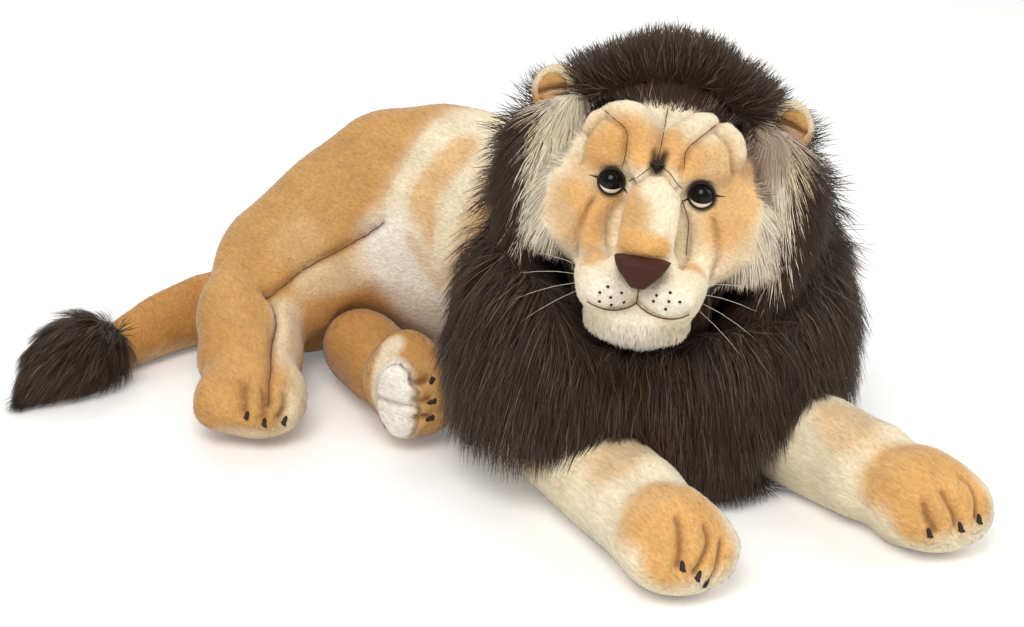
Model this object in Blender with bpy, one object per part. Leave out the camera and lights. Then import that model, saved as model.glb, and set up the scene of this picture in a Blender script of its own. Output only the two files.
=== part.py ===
"""A large plush lion that lies with its head up, modelled in metres with +Z up.

It faces -Y, its own left side is +X, and the floor is z = 0. Every soft form is a closed skin
that swells and tapers. A smaller form is cut back by the larger ones that it is sewn to, and a
seam's width is left between them. Limbs, head, ears and tail turn in round sockets.
"""

import math

import bmesh
import bpy
from mathutils import Matrix, Vector

# Seams, clearances and cloth
SEAM = 0.0006
FLAT_DEPTH = 0.0005
COVER = 0.004
OVERRUN = 0.02

# The lying body
BODY_WIDTH = 0.200
BODY_LENGTH = 0.350
BODY_HEIGHT = 0.260
BODY_START = 0.030
BELLY_TOP = 0.075

# The mane that covers the neck, shoulders and chest
MANE_WIDTH = 0.395
MANE_DEPTH = 0.300
MANE_HEIGHT = 0.345
MANE_FORWARD = 0.075
MANE_SPLIT = 0.015

# The head, which turns and nods about one point
HEAD_HEIGHT = 0.270
HEAD_FORWARD = 0.096
HEAD_ASIDE = -0.010
HEAD_WIDTH = 0.207
HEAD_DEPTH = 0.200
HEAD_TALL = 0.200
HEAD_YAW = math.radians(-37)
HEAD_PITCH = math.radians(-8)
HEAD_ROLL = math.radians(7)
CROWN_RADIUS = 0.150
CROWN_TALL = 0.137
CROWN_FRONT = 0.032
TURN_RANGE = (-10, 10)
NOD_RANGE = (-4, 5)

# The neck stump that carries the head
NECK_RADIUS = 0.054
NECK_BOTTOM = 0.100
NECK_TOP = 0.200

# The face
MUZZLE_REACH = 0.172
MUZZLE_WIDTH = 0.118
MUZZLE_DROP = 0.064
MUZZLE_TALL = 0.055
CHIN_WIDTH = 0.084
CHIN_TALL = 0.046
NOSE_WIDTH = 0.050
NOSE_TALL = 0.027
NOSE_THICK = 0.012
BRIDGE_WIDTH = 0.050
BROW_WIDTH = 0.072
CHEEK_TALL = 0.132
RUFF_TALL = 0.190
EYE_DIAMETER = 0.021
EYE_SPACING = 0.077
EYE_HEIGHT = 0.0145
EYE_RIM = 0.003
SHANK_DIAMETER = 0.005
SHANK_LENGTH = 0.018
WASHER_DIAMETER = 0.016
WASHER_THICK = 0.002
WASHER_DEPTH = 0.0135
STITCH_DIAMETER = 0.0022
WHISKER_DIAMETER = 0.0012
WHISKER_LENGTH = 0.060
WHISKER_COUNT = 4

# The ears
EAR_WIDTH = 0.048
EAR_TALL = 0.044
EAR_THICK = 0.018
EAR_LINING = 0.003
EAR_RANGE = (-15, 20)

# The forelegs, which swing about upright axes in the shoulders
SHOULDER_SPREAD = 0.171
SHOULDER_ASIDE = -0.0175
SHOULDER_FORWARD = 0.0325
SHOULDER_TURN = math.radians(-15)
FORELEG_REACH = 0.362
FORELEG_WIDTH = 0.114
FORELEG_TALL = 0.096
FORELEG_TURN = {"left": math.radians(7), "right": math.radians(-6)}
FOREPAW_WIDTH = 0.112
FOREPAW_TALL = 0.078
FOREPAW_LENGTH = 0.135
FORELEG_RANGE = (-3, 8)
SOLE_THICK = 0.004

# The hind legs, both laid to the lion's right
THIGH_LENGTH = 0.230
THIGH_TALL = 0.210
KNEE_ASIDE = -0.240
KNEE_BACK = 0.280
SHANK_TALL = 0.125
SHANK_WIDTH = 0.096
HINDLEG_REACH = 0.205
HINDLEG_TURN = math.radians(-24)
HINDPAW_LENGTH = 0.115
HINDPAW_WIDTH = 0.104
HINDPAW_TALL = 0.076
HINDLEG_RANGE = (-8, 8)
HOCK_ASIDE = -0.160
HOCK_BACK = 0.205
HOCK_WIDTH = 0.084
HOCK_TALL = 0.084
FAR_PAW_REACH = 0.190
FAR_PAW_TURN = math.radians(-6)
FAR_PAW_WIDTH = 0.080
FAR_PAW_TALL = 0.100
FAR_PAW_LENGTH = 0.120
FAR_PAW_RANGE = (-6, 3)
SIDE_SOLE_TURN = math.radians(30)

# The tail
TAIL_ASIDE = -0.160
TAIL_BACK = 0.395
TAIL_LENGTH = 0.215
TAIL_ROOT = 0.080
TUFT_LENGTH = 0.100
TUFT_WIDTH = 0.084
TAIL_RANGE = (-8, 25)

EYE_OUT = math.radians(12)
EYE_RIM_SHARE = 1.3
WHISKER_OUT = 0.95
WHISKER_FAN = 0.5
WHISKER_RISE = 0.45
WHISKER_ROOT_SHARE = 0.35
EAR_LEAN = math.radians(62)
HEAD_RADII = (HEAD_WIDTH / 2, HEAD_DEPTH / 2, HEAD_TALL / 2)
SIDES = (("left", 1), ("right", -1))

# How finely the forms are faceted
BALL_SIDES = 20
LARGE_SIDES = 16
SMALL_SIDES = 12
SWEEP_STEPS = 4

COLOURS = {
    "golden_plush": ((0.60, 0.30, 0.08), 0.95),
    "cream_plush": ((0.80, 0.62, 0.36), 0.95),
    "white_plush": ((0.86, 0.80, 0.68), 0.95),
    "mane_pile": ((0.045, 0.032, 0.024), 0.9),
    "ruff_pile": ((0.70, 0.58, 0.42), 0.95),
    "fibre_fill": ((0.90, 0.90, 0.88), 0.98),
    "nose_velour": ((0.055, 0.018, 0.020), 0.45),
    "eye_plastic": ((0.015, 0.012, 0.010), 0.08),
    "washer_plastic": ((0.70, 0.70, 0.70), 0.5),
    "thread": ((0.06, 0.025, 0.02), 0.7),
    "whisker_nylon": ((0.92, 0.90, 0.86), 0.35),
}


def clear_scene():
    for thing in list(bpy.data.objects):
        bpy.data.objects.remove(thing)


def material(name):
    """The Principled material of that name, made once."""
    found = bpy.data.materials.get(name)
    if found:
        return found
    colour, roughness = COLOURS[name]
    made = bpy.data.materials.new(name)
    made.use_nodes = True
    shader = made.node_tree.nodes["Principled BSDF"]
    shader.inputs["Base Color"].default_value = (*colour, 1)
    shader.inputs["Roughness"].default_value = roughness
    shader.inputs["Metallic"].default_value = 0
    return made


def empty(name, place, turn=(0, 0, 0), parent=None):
    """An empty on a joint's axis. What moves about that axis is its child."""
    made = bpy.data.objects.new(name, None)
    bpy.context.collection.objects.link(made)
    made.location = place
    made.rotation_euler = turn
    made.parent = parent or bpy.data.objects.get("lion")
    bpy.context.view_layer.update()
    return made


def place_object(name, mesh, finish=None, parent=None):
    """A piece with its finish or, with none given, a hidden form to cut with."""
    made = bpy.data.objects.new(name, mesh)
    bpy.context.collection.objects.link(made)
    made.parent = parent or bpy.data.objects["lion"]
    if finish:
        mesh.materials.append(material(finish))
        mesh.shade_smooth()
    else:
        made.hide_render = True
        made.display_type = "WIRE"
    return made


def mesh_of(name, corners, faces):
    mesh = bpy.data.meshes.new(name)
    mesh.from_pydata([tuple(corner) for corner in corners], [], faces)
    work = bmesh.new()
    work.from_mesh(mesh)
    bmesh.ops.recalc_face_normals(work, faces=work.faces)
    bmesh.ops.triangulate(work, faces=work.faces)
    work.to_mesh(mesh)
    work.free()
    return mesh


def grown(mesh, by):
    """A copy of a mesh with each corner moved out along its normal."""
    copy = mesh.copy()
    work = bmesh.new()
    work.from_mesh(copy)
    work.normal_update()
    moves = [corner.normal * by for corner in work.verts]
    for corner, move in zip(work.verts, moves):
        corner.co += move
    work.to_mesh(copy)
    work.free()
    return copy


def spots(shares, size):
    """Places given as shares of a size along X, Y and Z."""
    return [Vector(share * side for share, side in zip(row, size)) for row in shares]


def between(rows, share):
    """A point of the smooth curve through rows of numbers, from share 0 to 1."""
    last = len(rows) - 1
    step = min(int(share * last), last - 1)
    t = share * last - step
    p0 = rows[max(step - 1, 0)]
    p1, p2 = rows[step], rows[step + 1]
    p3 = rows[min(step + 2, last)]
    return [
        0.5 * (2 * b + (c - a) * t + (2 * a - 5 * b + 4 * c - d) * t**2 + (3 * b - a - 3 * c + d) * t**3)
        for a, b, c, d in zip(p0, p1, p2, p3)
    ]


def lying(points, girths, sides=SMALL_SIDES):
    """The points of a path at the heights that lay its form on the floor, a little into it to be cut flat."""
    flat = math.cos(math.pi / sides)
    return [Vector((x, y, tall * flat - FLAT_DEPTH)) for (x, y, _), (_, tall) in zip(points, girths)]


def rounding(share, start_share, end_share):
    """How full a form is at a place along it: nought at its two tips, and one between its round ends."""
    fullness = 1.0
    if share < start_share:
        fullness = math.sqrt(max(0.0, 1 - (1 - share / start_share) ** 2))
    if share > 1 - end_share:
        fullness = min(fullness, math.sqrt(max(0.0, 1 - ((share - 1 + end_share) / end_share) ** 2)))
    return fullness


def lofted(rings, tips):
    """Corners and faces of a closed skin over rings of corners, with a tip at each end."""
    sides = len(rings[0])
    corners = [tips[0], *(corner for ring in rings for corner in ring), tips[1]]
    faces = []
    for k in range(sides):
        after = (k + 1) % sides
        faces.append((0, 1 + after, 1 + k))
        faces.append((len(corners) - 1, len(corners) - 1 - sides + k, len(corners) - 1 - sides + after))
        for i in range(len(rings) - 1):
            low, high = 1 + i * sides, 1 + (i + 1) * sides
            faces.append((low + k, low + after, high + after, high + k))
    return corners, faces


def swell(name, path, girths, sides=SMALL_SIDES, rings=8, ends=(0.3, 0.3), upright=(0, 0, 1)):
    """A form that swells along a path. Each girth is the half width and half height at a path's point."""
    rows = [[*point, *girth] for point, girth in zip(path, girths)]
    loops = []
    for i in range(1, rings):
        share = (1 - math.cos(math.pi * i / rings)) / 2
        x, y, z, wide, tall = between(rows, share)
        before, after = between(rows, max(share - 0.02, 0)), between(rows, min(share + 0.02, 1))
        heading = Vector(b - a for a, b in zip(before[:3], after[:3])).normalized()
        aside = heading.cross(Vector(upright)).normalized()
        above = aside.cross(heading)
        fullness = rounding(share, *ends)
        turns = [2 * math.pi * (k + 0.5) / sides for k in range(sides)]
        loops.append(
            [
                Vector((x, y, z)) + fullness * (aside * wide * math.sin(t) + above * tall * math.cos(t))
                for t in turns
            ]
        )
    return mesh_of(name, *lofted(loops, (Vector(path[0]), Vector(path[-1]))))


def turned(name, profile, sides=SMALL_SIDES, centre=(0, 0, 0), turn=None, radii=(1, 1)):
    """A form turned about its own Z from (radius, height) pairs, the first and last on the axis."""
    spin = turn or Matrix.Identity(3)
    angles = [2 * math.pi * (k + 0.5) / sides for k in range(sides)]
    loops = [
        [
            Vector(centre) + spin @ Vector((radii[0] * radius * math.cos(t), radii[1] * radius * math.sin(t), height))
            for t in angles
        ]
        for radius, height in profile[1:-1]
    ]
    tips = [Vector(centre) + spin @ Vector((0, 0, profile[i][1])) for i in (0, -1)]
    return mesh_of(name, *lofted(loops, tips))


def puff(name, centre, radii, sides=SMALL_SIDES, rings=6, turn=None):
    """An egg-shaped form, its poles along its own Z."""
    leans = [math.pi * i / rings for i in range(rings + 1)]
    profile = [(math.sin(lean), radii[2] * math.cos(lean)) for lean in leans]
    return turned(name, profile, sides, centre, turn, radii[:2])


def block(name, low, high):
    """A box between two corners, for cutting with."""
    corners = [(x, y, z) for x in (low[0], high[0]) for y in (low[1], high[1]) for z in (low[2], high[2])]
    faces = [(0, 1, 3, 2), (4, 6, 7, 5), (0, 4, 5, 1), (2, 3, 7, 6), (0, 2, 6, 4), (1, 5, 7, 3)]
    return mesh_of(name, corners, faces)


def room(thing, by=SEAM):
    """A hidden, slightly grown copy of an object's own form, which cuts a place for it in others."""
    name = thing.name + "_room"
    found = bpy.data.objects.get(name)
    if found:
        return found
    return place_object(name, grown(thing.data, by), parent=thing.parent)


def cut(thing, *cutters, operation="DIFFERENCE"):
    for cutter in cutters:
        made = thing.modifiers.new("cut_by_" + cutter.name, "BOOLEAN")
        made.operation = operation
        made.solver = "EXACT"
        made.object = cutter


def keep_inside(thing, form):
    cut(thing, form, operation="INTERSECT")


def hull_of(name, corners):
    work = bmesh.new()
    for corner in corners:
        work.verts.new(corner)
    found = bmesh.ops.convex_hull(work, input=work.verts)
    spare = {item for key in ("geom_interior", "geom_unused") for item in found[key]}
    bmesh.ops.delete(work, geom=[item for item in spare if isinstance(item, bmesh.types.BMVert)], context="VERTS")
    bmesh.ops.recalc_face_normals(work, faces=work.faces)
    mesh = bpy.data.meshes.new(name)
    work.to_mesh(mesh)
    work.free()
    return mesh


def sweep_room(name, things, axis, degrees, steps=SWEEP_STEPS):
    """The space that pieces pass through as they turn about an axis of their shared empty."""
    hub = things[0].parent
    corners = []
    for i in range(steps):
        angle = math.radians(degrees[0] + (degrees[1] - degrees[0]) * i / (steps - 1))
        spin = Matrix.Rotation(angle, 4, axis)
        for thing in things:
            corners += [spin @ corner.co for corner in grown(thing.data, SEAM).vertices]
    return place_object(name, hull_of(name, corners), parent=hub)


def head_sweep_room(name, things):
    """The space that pieces of the head pass through as it nods and turns."""
    head = things[0].parent
    corners = []
    for turn in (TURN_RANGE[0], 0, TURN_RANGE[1]):
        spin = Matrix.Rotation(math.radians(turn) + HEAD_YAW, 4, "Z")
        for nod in (NOD_RANGE[0], 0, NOD_RANGE[1]):
            lean = Matrix.Rotation(math.radians(nod), 4, "X") @ Matrix.Rotation(-HEAD_YAW, 4, "Z")
            move = spin @ lean @ head.matrix_basis
            for thing in things:
                corners += [move @ corner.co for corner in grown(thing.data, SEAM).vertices]
    return place_object(name, hull_of(name, corners), parent=head.parent)


def floor_cutter():
    reach = BODY_LENGTH + MANE_WIDTH + TAIL_LENGTH + FORELEG_REACH
    mesh = block("floor_cutter", (-reach, -reach, -OVERRUN), (reach, reach, 0))
    return place_object("floor_cutter", mesh)


def mirror_cutter(name, side, size, parent):
    """Cuts off what reaches past the middle of the face from one side."""
    near = sorted((-side * size, side * SEAM / 2))
    return place_object(name, block(name, (near[0], -size, -size), (near[1], size, size)), parent=parent)


TORSO_SPINE_SHARES = (
    (0.00, 0.00),
    (0.00, 0.20),
    (-0.08, 0.40),
    (-0.22, 0.60),
    (-0.40, 0.80),
    (-0.56, 1.00),
)
TORSO_GIRTH_SHARES = (
    (0.45, 0.43),
    (0.49, 0.49),
    (0.50, 0.515),
    (0.50, 0.515),
    (0.53, 0.51),
    (0.42, 0.40),
)


def spine_place(row):
    """The floor place under one row of the spine's table."""
    return Vector((TORSO_SPINE_SHARES[row][0] * BODY_WIDTH, BODY_START + TORSO_SPINE_SHARES[row][1] * BODY_LENGTH, 0))


def torso_mesh(name):
    girths = [(w * BODY_WIDTH, h * BODY_HEIGHT) for w, h in TORSO_GIRTH_SHARES]
    path = lying([spine_place(row) for row in range(len(TORSO_SPINE_SHARES))], girths, LARGE_SIDES)
    return swell(name, path, girths, LARGE_SIDES, 10, (0.35, 0.4))


def build_torso(pockets, floor):
    """The body's stuffing, with a back cover and a belly panel sewn round it."""
    whole = place_object("torso_form", torso_mesh("torso_form"))
    stuffing = place_object("torso_stuffing", grown(torso_mesh("torso_stuffing"), -COVER), "fibre_fill")
    back = place_object("back_cover", torso_mesh("back_cover"), "golden_plush")
    belly = place_object("belly_panel", torso_mesh("belly_panel"), "white_plush")
    reach = BODY_LENGTH + BODY_WIDTH + OVERRUN
    low = block("below_belly_seam", (-reach, -reach, -OVERRUN), (reach, reach, BELLY_TOP))
    high = block("above_belly_seam", (-reach, -reach, BELLY_TOP - SEAM), (reach, reach, BODY_HEIGHT + OVERRUN))
    for piece in (stuffing, back, belly):
        cut(piece, *pockets)
    cut(back, place_object("below_belly_seam", low), room(stuffing))
    cut(belly, floor, place_object("above_belly_seam", high), room(stuffing))
    return whole, [stuffing, back, belly]


MANE_RING_SHARES = (
    (0.00, 0.27, 0.43),
    (0.12, 0.38, 0.48),
    (0.24, 0.49, 0.50),
    (0.42, 0.49, 0.49),
    (0.60, 0.44, 0.46),
    (0.78, 0.36, 0.42),
    (0.92, 0.22, 0.30),
)


def build_mane(cutters):
    """The long pile over chest and shoulders, as a front and a back half about the head's socket."""
    angles = [2 * math.pi * k / LARGE_SIDES for k in range(LARGE_SIDES)]
    loops = [
        [
            Vector(
                (
                    wide * MANE_WIDTH * math.cos(t),
                    deep * MANE_DEPTH * math.sin(t) - MANE_FORWARD,
                    up * MANE_HEIGHT,
                )
            )
            for t in angles
        ]
        for up, wide, deep in MANE_RING_SHARES
    ]
    tips = (Vector((0, -MANE_FORWARD, 0)), Vector((0, -MANE_FORWARD, MANE_HEIGHT)))
    chest = place_object("mane_chest", mesh_of("mane_chest", *lofted(loops, tips)), "mane_pile")
    nape = place_object("mane_nape", mesh_of("mane_nape", *lofted(loops, tips)), "mane_pile")
    reach = MANE_WIDTH + MANE_DEPTH
    behind = block("behind_chest", (-reach, -MANE_SPLIT, -OVERRUN), (reach, reach, MANE_HEIGHT + OVERRUN))
    before = block("before_nape", (-reach, -reach, -OVERRUN), (reach, SEAM - MANE_SPLIT, MANE_HEIGHT + OVERRUN))
    cut(chest, place_object("behind_chest", behind), *cutters)
    cut(nape, place_object("before_nape", before), *cutters)
    return chest, nape


def neck_form(name, radius, gap):
    low, high = NECK_BOTTOM - HEAD_HEIGHT - gap, NECK_TOP - HEAD_HEIGHT + gap
    return turned(name, [(0, low), (radius, low), (radius, high), (0, high)], LARGE_SIDES)


def build_neck(hub):
    """The stuffed neck stump, which turns in the mane and carries the skull in a cup."""
    return place_object("neck", neck_form("neck", NECK_RADIUS, 0), "fibre_fill", hub)


def build_neck_hole(hub):
    """Room for the neck, wide enough for its corners to pass the hole's flats as it turns."""
    radius = (NECK_RADIUS + SEAM) / math.cos(math.pi / LARGE_SIDES)
    return place_object("neck_hole", neck_form("neck_hole", radius, SEAM), parent=hub)


def ball_about_head(name, radius, parent):
    """A ball about the head's pivot, in which or on which the head turns."""
    mesh = puff(name, (0, 0, 0), (radius, radius, radius), BALL_SIDES, BALL_SIDES // 2)
    return place_object(name, mesh, parent=parent)


def socket_radius(radius):
    """The size of a faceted ball whose facets clear a form of the given radius as it turns inside."""
    return (radius + SEAM) / math.cos(math.pi / BALL_SIDES) ** 2


def build_skull(head):
    """The head's stuffing and its cover, open over the neck."""
    form = puff("head_form", (0, 0, 0), HEAD_RADII, LARGE_SIDES, 8)
    whole = place_object("head_form", form, parent=head)
    cover = place_object("head_cover", form.copy(), "cream_plush", head)
    stuffing = place_object("head_stuffing", grown(form, -COVER), "fibre_fill", head)
    width = NECK_RADIUS / 2
    opening = [(0, -HEAD_TALL), (width, -HEAD_TALL), (width, 0), (0, 0)]
    cut(cover, place_object("neck_opening", turned("neck_opening", opening), parent=head), room(stuffing))
    return whole, cover, stuffing


BRIDGE_PATH_SHARES = ((0, 0.46, 0.80), (0, 0.62, 0.38), (0, 0.78, -0.18), (0, 0.93, -0.68))
BRIDGE_GIRTH_SHARES = ((0.36, 0.30), (0.46, 0.42), (0.50, 0.46), (0.50, 0.34))
BROW_SPOT_SHARES = (0.36, 0.82, 0.52)
BROW_RADIUS_SHARES = (0.50, 0.32, 0.48)
CHEEK_SPOT_SHARES = (0.62, 0.60, -0.32)
CHEEK_RADIUS_SHARES = (0.36, 0.36, 0.50)
LIP_SPOT_SHARES = (0.25, 0.73)
LIP_RADIUS_SHARES = (0.27, 0.27)
CHIN_SPOT_SHARES = (0.69, 0.58)
CHIN_DEPTH_SHARE = 0.21


def build_pad(name, spot, radii, finish, head, rings=6):
    return place_object(name, puff(name, spot, radii, rings=rings), finish, head)


def build_face(head, skull, ball):
    """The stuffed pads of the face: brows, bridge, cheeks, lips and chin, sewn over the skull."""
    path = spots(BRIDGE_PATH_SHARES, (HEAD_WIDTH, -MUZZLE_REACH, MUZZLE_TALL))
    girths = [(w * BRIDGE_WIDTH, h * BRIDGE_WIDTH) for w, h in BRIDGE_GIRTH_SHARES]
    mesh = swell("nose_bridge", path, girths, SMALL_SIDES, 8, (0.4, 0.2))
    pads = {"nose_bridge": place_object("nose_bridge", mesh, "cream_plush", head)}
    spot = (0, -CHIN_SPOT_SHARES[0] * MUZZLE_REACH, -MUZZLE_DROP - CHIN_SPOT_SHARES[1] * MUZZLE_TALL)
    radii = (CHIN_WIDTH / 2, CHIN_DEPTH_SHARE * MUZZLE_REACH, CHIN_TALL / 2)
    pads["chin"] = build_pad("chin", spot, radii, "white_plush", head)
    for word, side in SIDES:
        spot = (side * LIP_SPOT_SHARES[0] * MUZZLE_WIDTH, -LIP_SPOT_SHARES[1] * MUZZLE_REACH, -MUZZLE_DROP)
        radii = (LIP_RADIUS_SHARES[0] * MUZZLE_WIDTH, LIP_RADIUS_SHARES[1] * MUZZLE_REACH, MUZZLE_TALL / 2)
        pads["muzzle_" + word] = build_pad("muzzle_" + word, spot, radii, "white_plush", head)
        mirror_at = Vector((side * HEAD_RADII[0], -HEAD_RADII[1], HEAD_RADII[2]))
        spot = spots([BROW_SPOT_SHARES], mirror_at)[0]
        radii = [share * BROW_WIDTH for share in BROW_RADIUS_SHARES]
        pads["brow_" + word] = build_pad("brow_" + word, spot, radii, "cream_plush", head)
        spot = spots([CHEEK_SPOT_SHARES], mirror_at)[0]
        radii = [share * CHEEK_TALL for share in CHEEK_RADIUS_SHARES]
        pads["cheek_" + word] = build_pad("cheek_" + word, spot, radii, "golden_plush", head)
        middle = mirror_cutter("middle_" + word, side, HEAD_WIDTH, head)
        cut(pads["muzzle_" + word], middle)
        cut(pads["brow_" + word], middle)
        keep_inside(pads["cheek_" + word], ball)
    for pad in pads.values():
        cut(pad, room(skull))
    for word, _ in SIDES:
        cut(pads["muzzle_" + word], room(pads["nose_bridge"]))
        cut(pads["brow_" + word], room(pads["nose_bridge"]))
        cut(pads["cheek_" + word], room(pads["nose_bridge"]), room(pads["brow_" + word]), room(pads["muzzle_" + word]))
        cut(pads["chin"], room(pads["muzzle_" + word]))
        cut(pads["cheek_" + word], room(pads["chin"]))
    return pads


NOSE_OUTLINE_SHARES = (
    (-0.50, 0.42),
    (-0.30, 0.50),
    (0.30, 0.50),
    (0.50, 0.42),
    (0.40, 0.05),
    (0.12, -0.50),
    (-0.12, -0.50),
    (-0.40, 0.05),
)
NOSE_RING_SHARES = ((0.00, 0.72), (0.50, 0.93), (2.00, 1.00))
NOSE_RISE_SHARE = 0.34


def build_nose(head, pads):
    """The nose leather, a rounded triangle seated in the end of the bridge."""
    front = -MUZZLE_REACH - NOSE_THICK / 2
    middle = -MUZZLE_DROP + NOSE_RISE_SHARE * MUZZLE_TALL
    loops = [
        [
            Vector((x * NOSE_WIDTH * size, front + depth * NOSE_THICK, middle + z * NOSE_TALL * size))
            for x, z in NOSE_OUTLINE_SHARES
        ]
        for depth, size in NOSE_RING_SHARES
    ]
    back = front + NOSE_RING_SHARES[-1][0] * NOSE_THICK
    tips = (Vector((0, front, middle)), Vector((0, back, middle)))
    nose = place_object("nose_pad", mesh_of("nose_pad", *lofted(loops, tips)), "nose_velour", head)
    for name in ("nose_bridge", "muzzle_left", "muzzle_right"):
        cut(pads[name], room(nose))
    return nose


MOUTH_PATH_SHARES = (
    (0.00, 0.814, 0.17),
    (0.10, 0.850, 0.31),
    (0.22, 0.852, 0.445),
    (0.32, 0.797, 0.46),
    (0.39, 0.710, 0.36),
)


def build_mouth(head, pads):
    """The mouth line, a thread sewn between the lips and the chin."""
    half = [Vector((0, 0, -MUZZLE_DROP)) + spot for spot in spots(MOUTH_PATH_SHARES, (MUZZLE_WIDTH, -MUZZLE_REACH, -MUZZLE_TALL))]
    path = [Vector((-x, y, z)) for x, y, z in half[:0:-1]] + half
    girths = [(STITCH_DIAMETER / 2, STITCH_DIAMETER / 2)] * len(path)
    thread = place_object("mouth_stitch", swell("mouth_stitch", path, girths, 6, 14, (0.04, 0.04)), "thread", head)
    for name in ("chin", "muzzle_left", "muzzle_right"):
        cut(pads[name], room(thread))
    return thread


def build_eyes(head, cover, stuffing, pads):
    """Domed safety eyes: dome and shank outside, a lock washer inside, a dark rim between."""
    radius = EYE_DIAMETER / 2
    for word, side in SIDES:
        turn = Matrix.Rotation(side * EYE_OUT, 3, "Z") @ Matrix.Rotation(math.pi / 2, 3, "X")
        x, z = side * EYE_SPACING / 2, EYE_HEIGHT
        y = -HEAD_RADII[1] * math.sqrt(1 - (x / HEAD_RADII[0]) ** 2 - (z / HEAD_RADII[2]) ** 2)
        out = turn @ Vector((0, 0, 1))
        dome = [(0, 0.75), (0.55, 0.62), (0.88, 0.33), (1, 0)]
        profile = [(r * radius, h * radius) for r, h in dome]
        profile += [(SHANK_DIAMETER / 2, 0), (SHANK_DIAMETER / 2, -SHANK_LENGTH), (0, -SHANK_LENGTH)]
        base = Vector((x, y, z)) + out * EYE_RIM
        eye = place_object("eye_" + word, turned("eye_" + word, profile, LARGE_SIDES, base, turn), "eye_plastic", head)
        wide = radius * EYE_RIM_SHARE
        profile = [(0, -SEAM), (wide, -SEAM), (wide, -EYE_RIM * 2), (0, -EYE_RIM * 2)]
        name = "eye_rim_" + word
        rim = place_object(name, turned(name, profile, SMALL_SIDES, base, turn), "nose_velour", head)
        top, half = -WASHER_DEPTH, WASHER_DIAMETER / 2
        profile = [(0, top), (half, top), (half, top - WASHER_THICK), (0, top - WASHER_THICK)]
        name = "eye_washer_" + word
        washer = place_object(name, turned(name, profile, SMALL_SIDES, base, turn), "washer_plastic", head)
        cut(rim, room(eye))
        cut(washer, room(eye))
        cut(cover, room(rim), room(eye))
        cut(stuffing, room(rim), room(eye), room(washer))
        for name in ("nose_bridge", "brow_" + word, "cheek_" + word):
            cut(pads[name], room(rim), room(eye))


RUFF_PATH_SHARES = ((0.78, 0.20, 0.42), (1.04, 0.34, 0.12), (1.06, 0.42, -0.20), (0.86, 0.50, -0.56))
RUFF_GIRTH_SHARES = ((0.10, 0.10), (0.17, 0.13), (0.17, 0.14), (0.10, 0.11))


def build_ruffs(head, skull, pads, ball):
    """The pale ruff that frames the face down each cheek."""
    ruffs = []
    for word, side in SIDES:
        path = spots(RUFF_PATH_SHARES, (side * HEAD_WIDTH / 2, -HEAD_DEPTH / 2, RUFF_TALL))
        girths = [(w * RUFF_TALL, h * RUFF_TALL) for w, h in RUFF_GIRTH_SHARES]
        name = "cheek_ruff_" + word
        ruff = place_object(name, swell(name, path, girths, upright=(0, 1, 0)), "ruff_pile", head)
        keep_inside(ruff, ball)
        cut(ruff, *(room(form) for form in (skull, pads["cheek_" + word], pads["brow_" + word])))
        ruffs.append(ruff)
    return ruffs


CROWN_POINT = 1.6
CROWN_RINGS = 9
THROAT_SHARES = ((2.3, -1.2), (1.6, -0.35))


def crown_profile():
    """Round below the middle, where it turns in the mane, and drawn in towards the top."""
    profile = []
    for i in range(CROWN_RINGS + 1):
        lean = math.pi * i / CROWN_RINGS
        up = math.cos(lean)
        if up > 0:
            profile.append((CROWN_RADIUS * (1 - up**CROWN_POINT) ** (1 / CROWN_POINT), CROWN_TALL * up))
        else:
            profile.append((CROWN_RADIUS * math.sin(lean), CROWN_TALL * up))
    return profile


def build_crown(head, skull, ruffs, pads):
    """The mane over the top, back and sides of the head, open in front and over the neck."""
    crown = place_object("mane_crown", turned("mane_crown", crown_profile(), LARGE_SIDES), "mane_pile", head)
    reach = CROWN_RADIUS + OVERRUN
    front = place_object("crown_front", block("crown_front", (-reach, -reach, -reach), (reach, -CROWN_FRONT, reach)), parent=head)
    throat = [(wide * NECK_RADIUS, up * CROWN_RADIUS) for wide, up in THROAT_SHARES]
    throat = [(0, throat[0][1]), *throat, (0, throat[-1][1])]
    opening = place_object("crown_throat", turned("crown_throat", throat, SMALL_SIDES), parent=head)
    cut(crown, front, opening, room(skull), *map(room, ruffs))
    for word, _ in SIDES:
        cut(crown, room(pads["cheek_" + word]), room(pads["brow_" + word]))
    return crown


EAR_SPOT_SHARES = (0.56, -0.10, 0.42)
EAR_HOLLOW_SPOT_SHARES = (0.62, 0.62)
EAR_HOLLOW_RADIUS_SHARES = (0.38, 0.62, 0.36)


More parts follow.
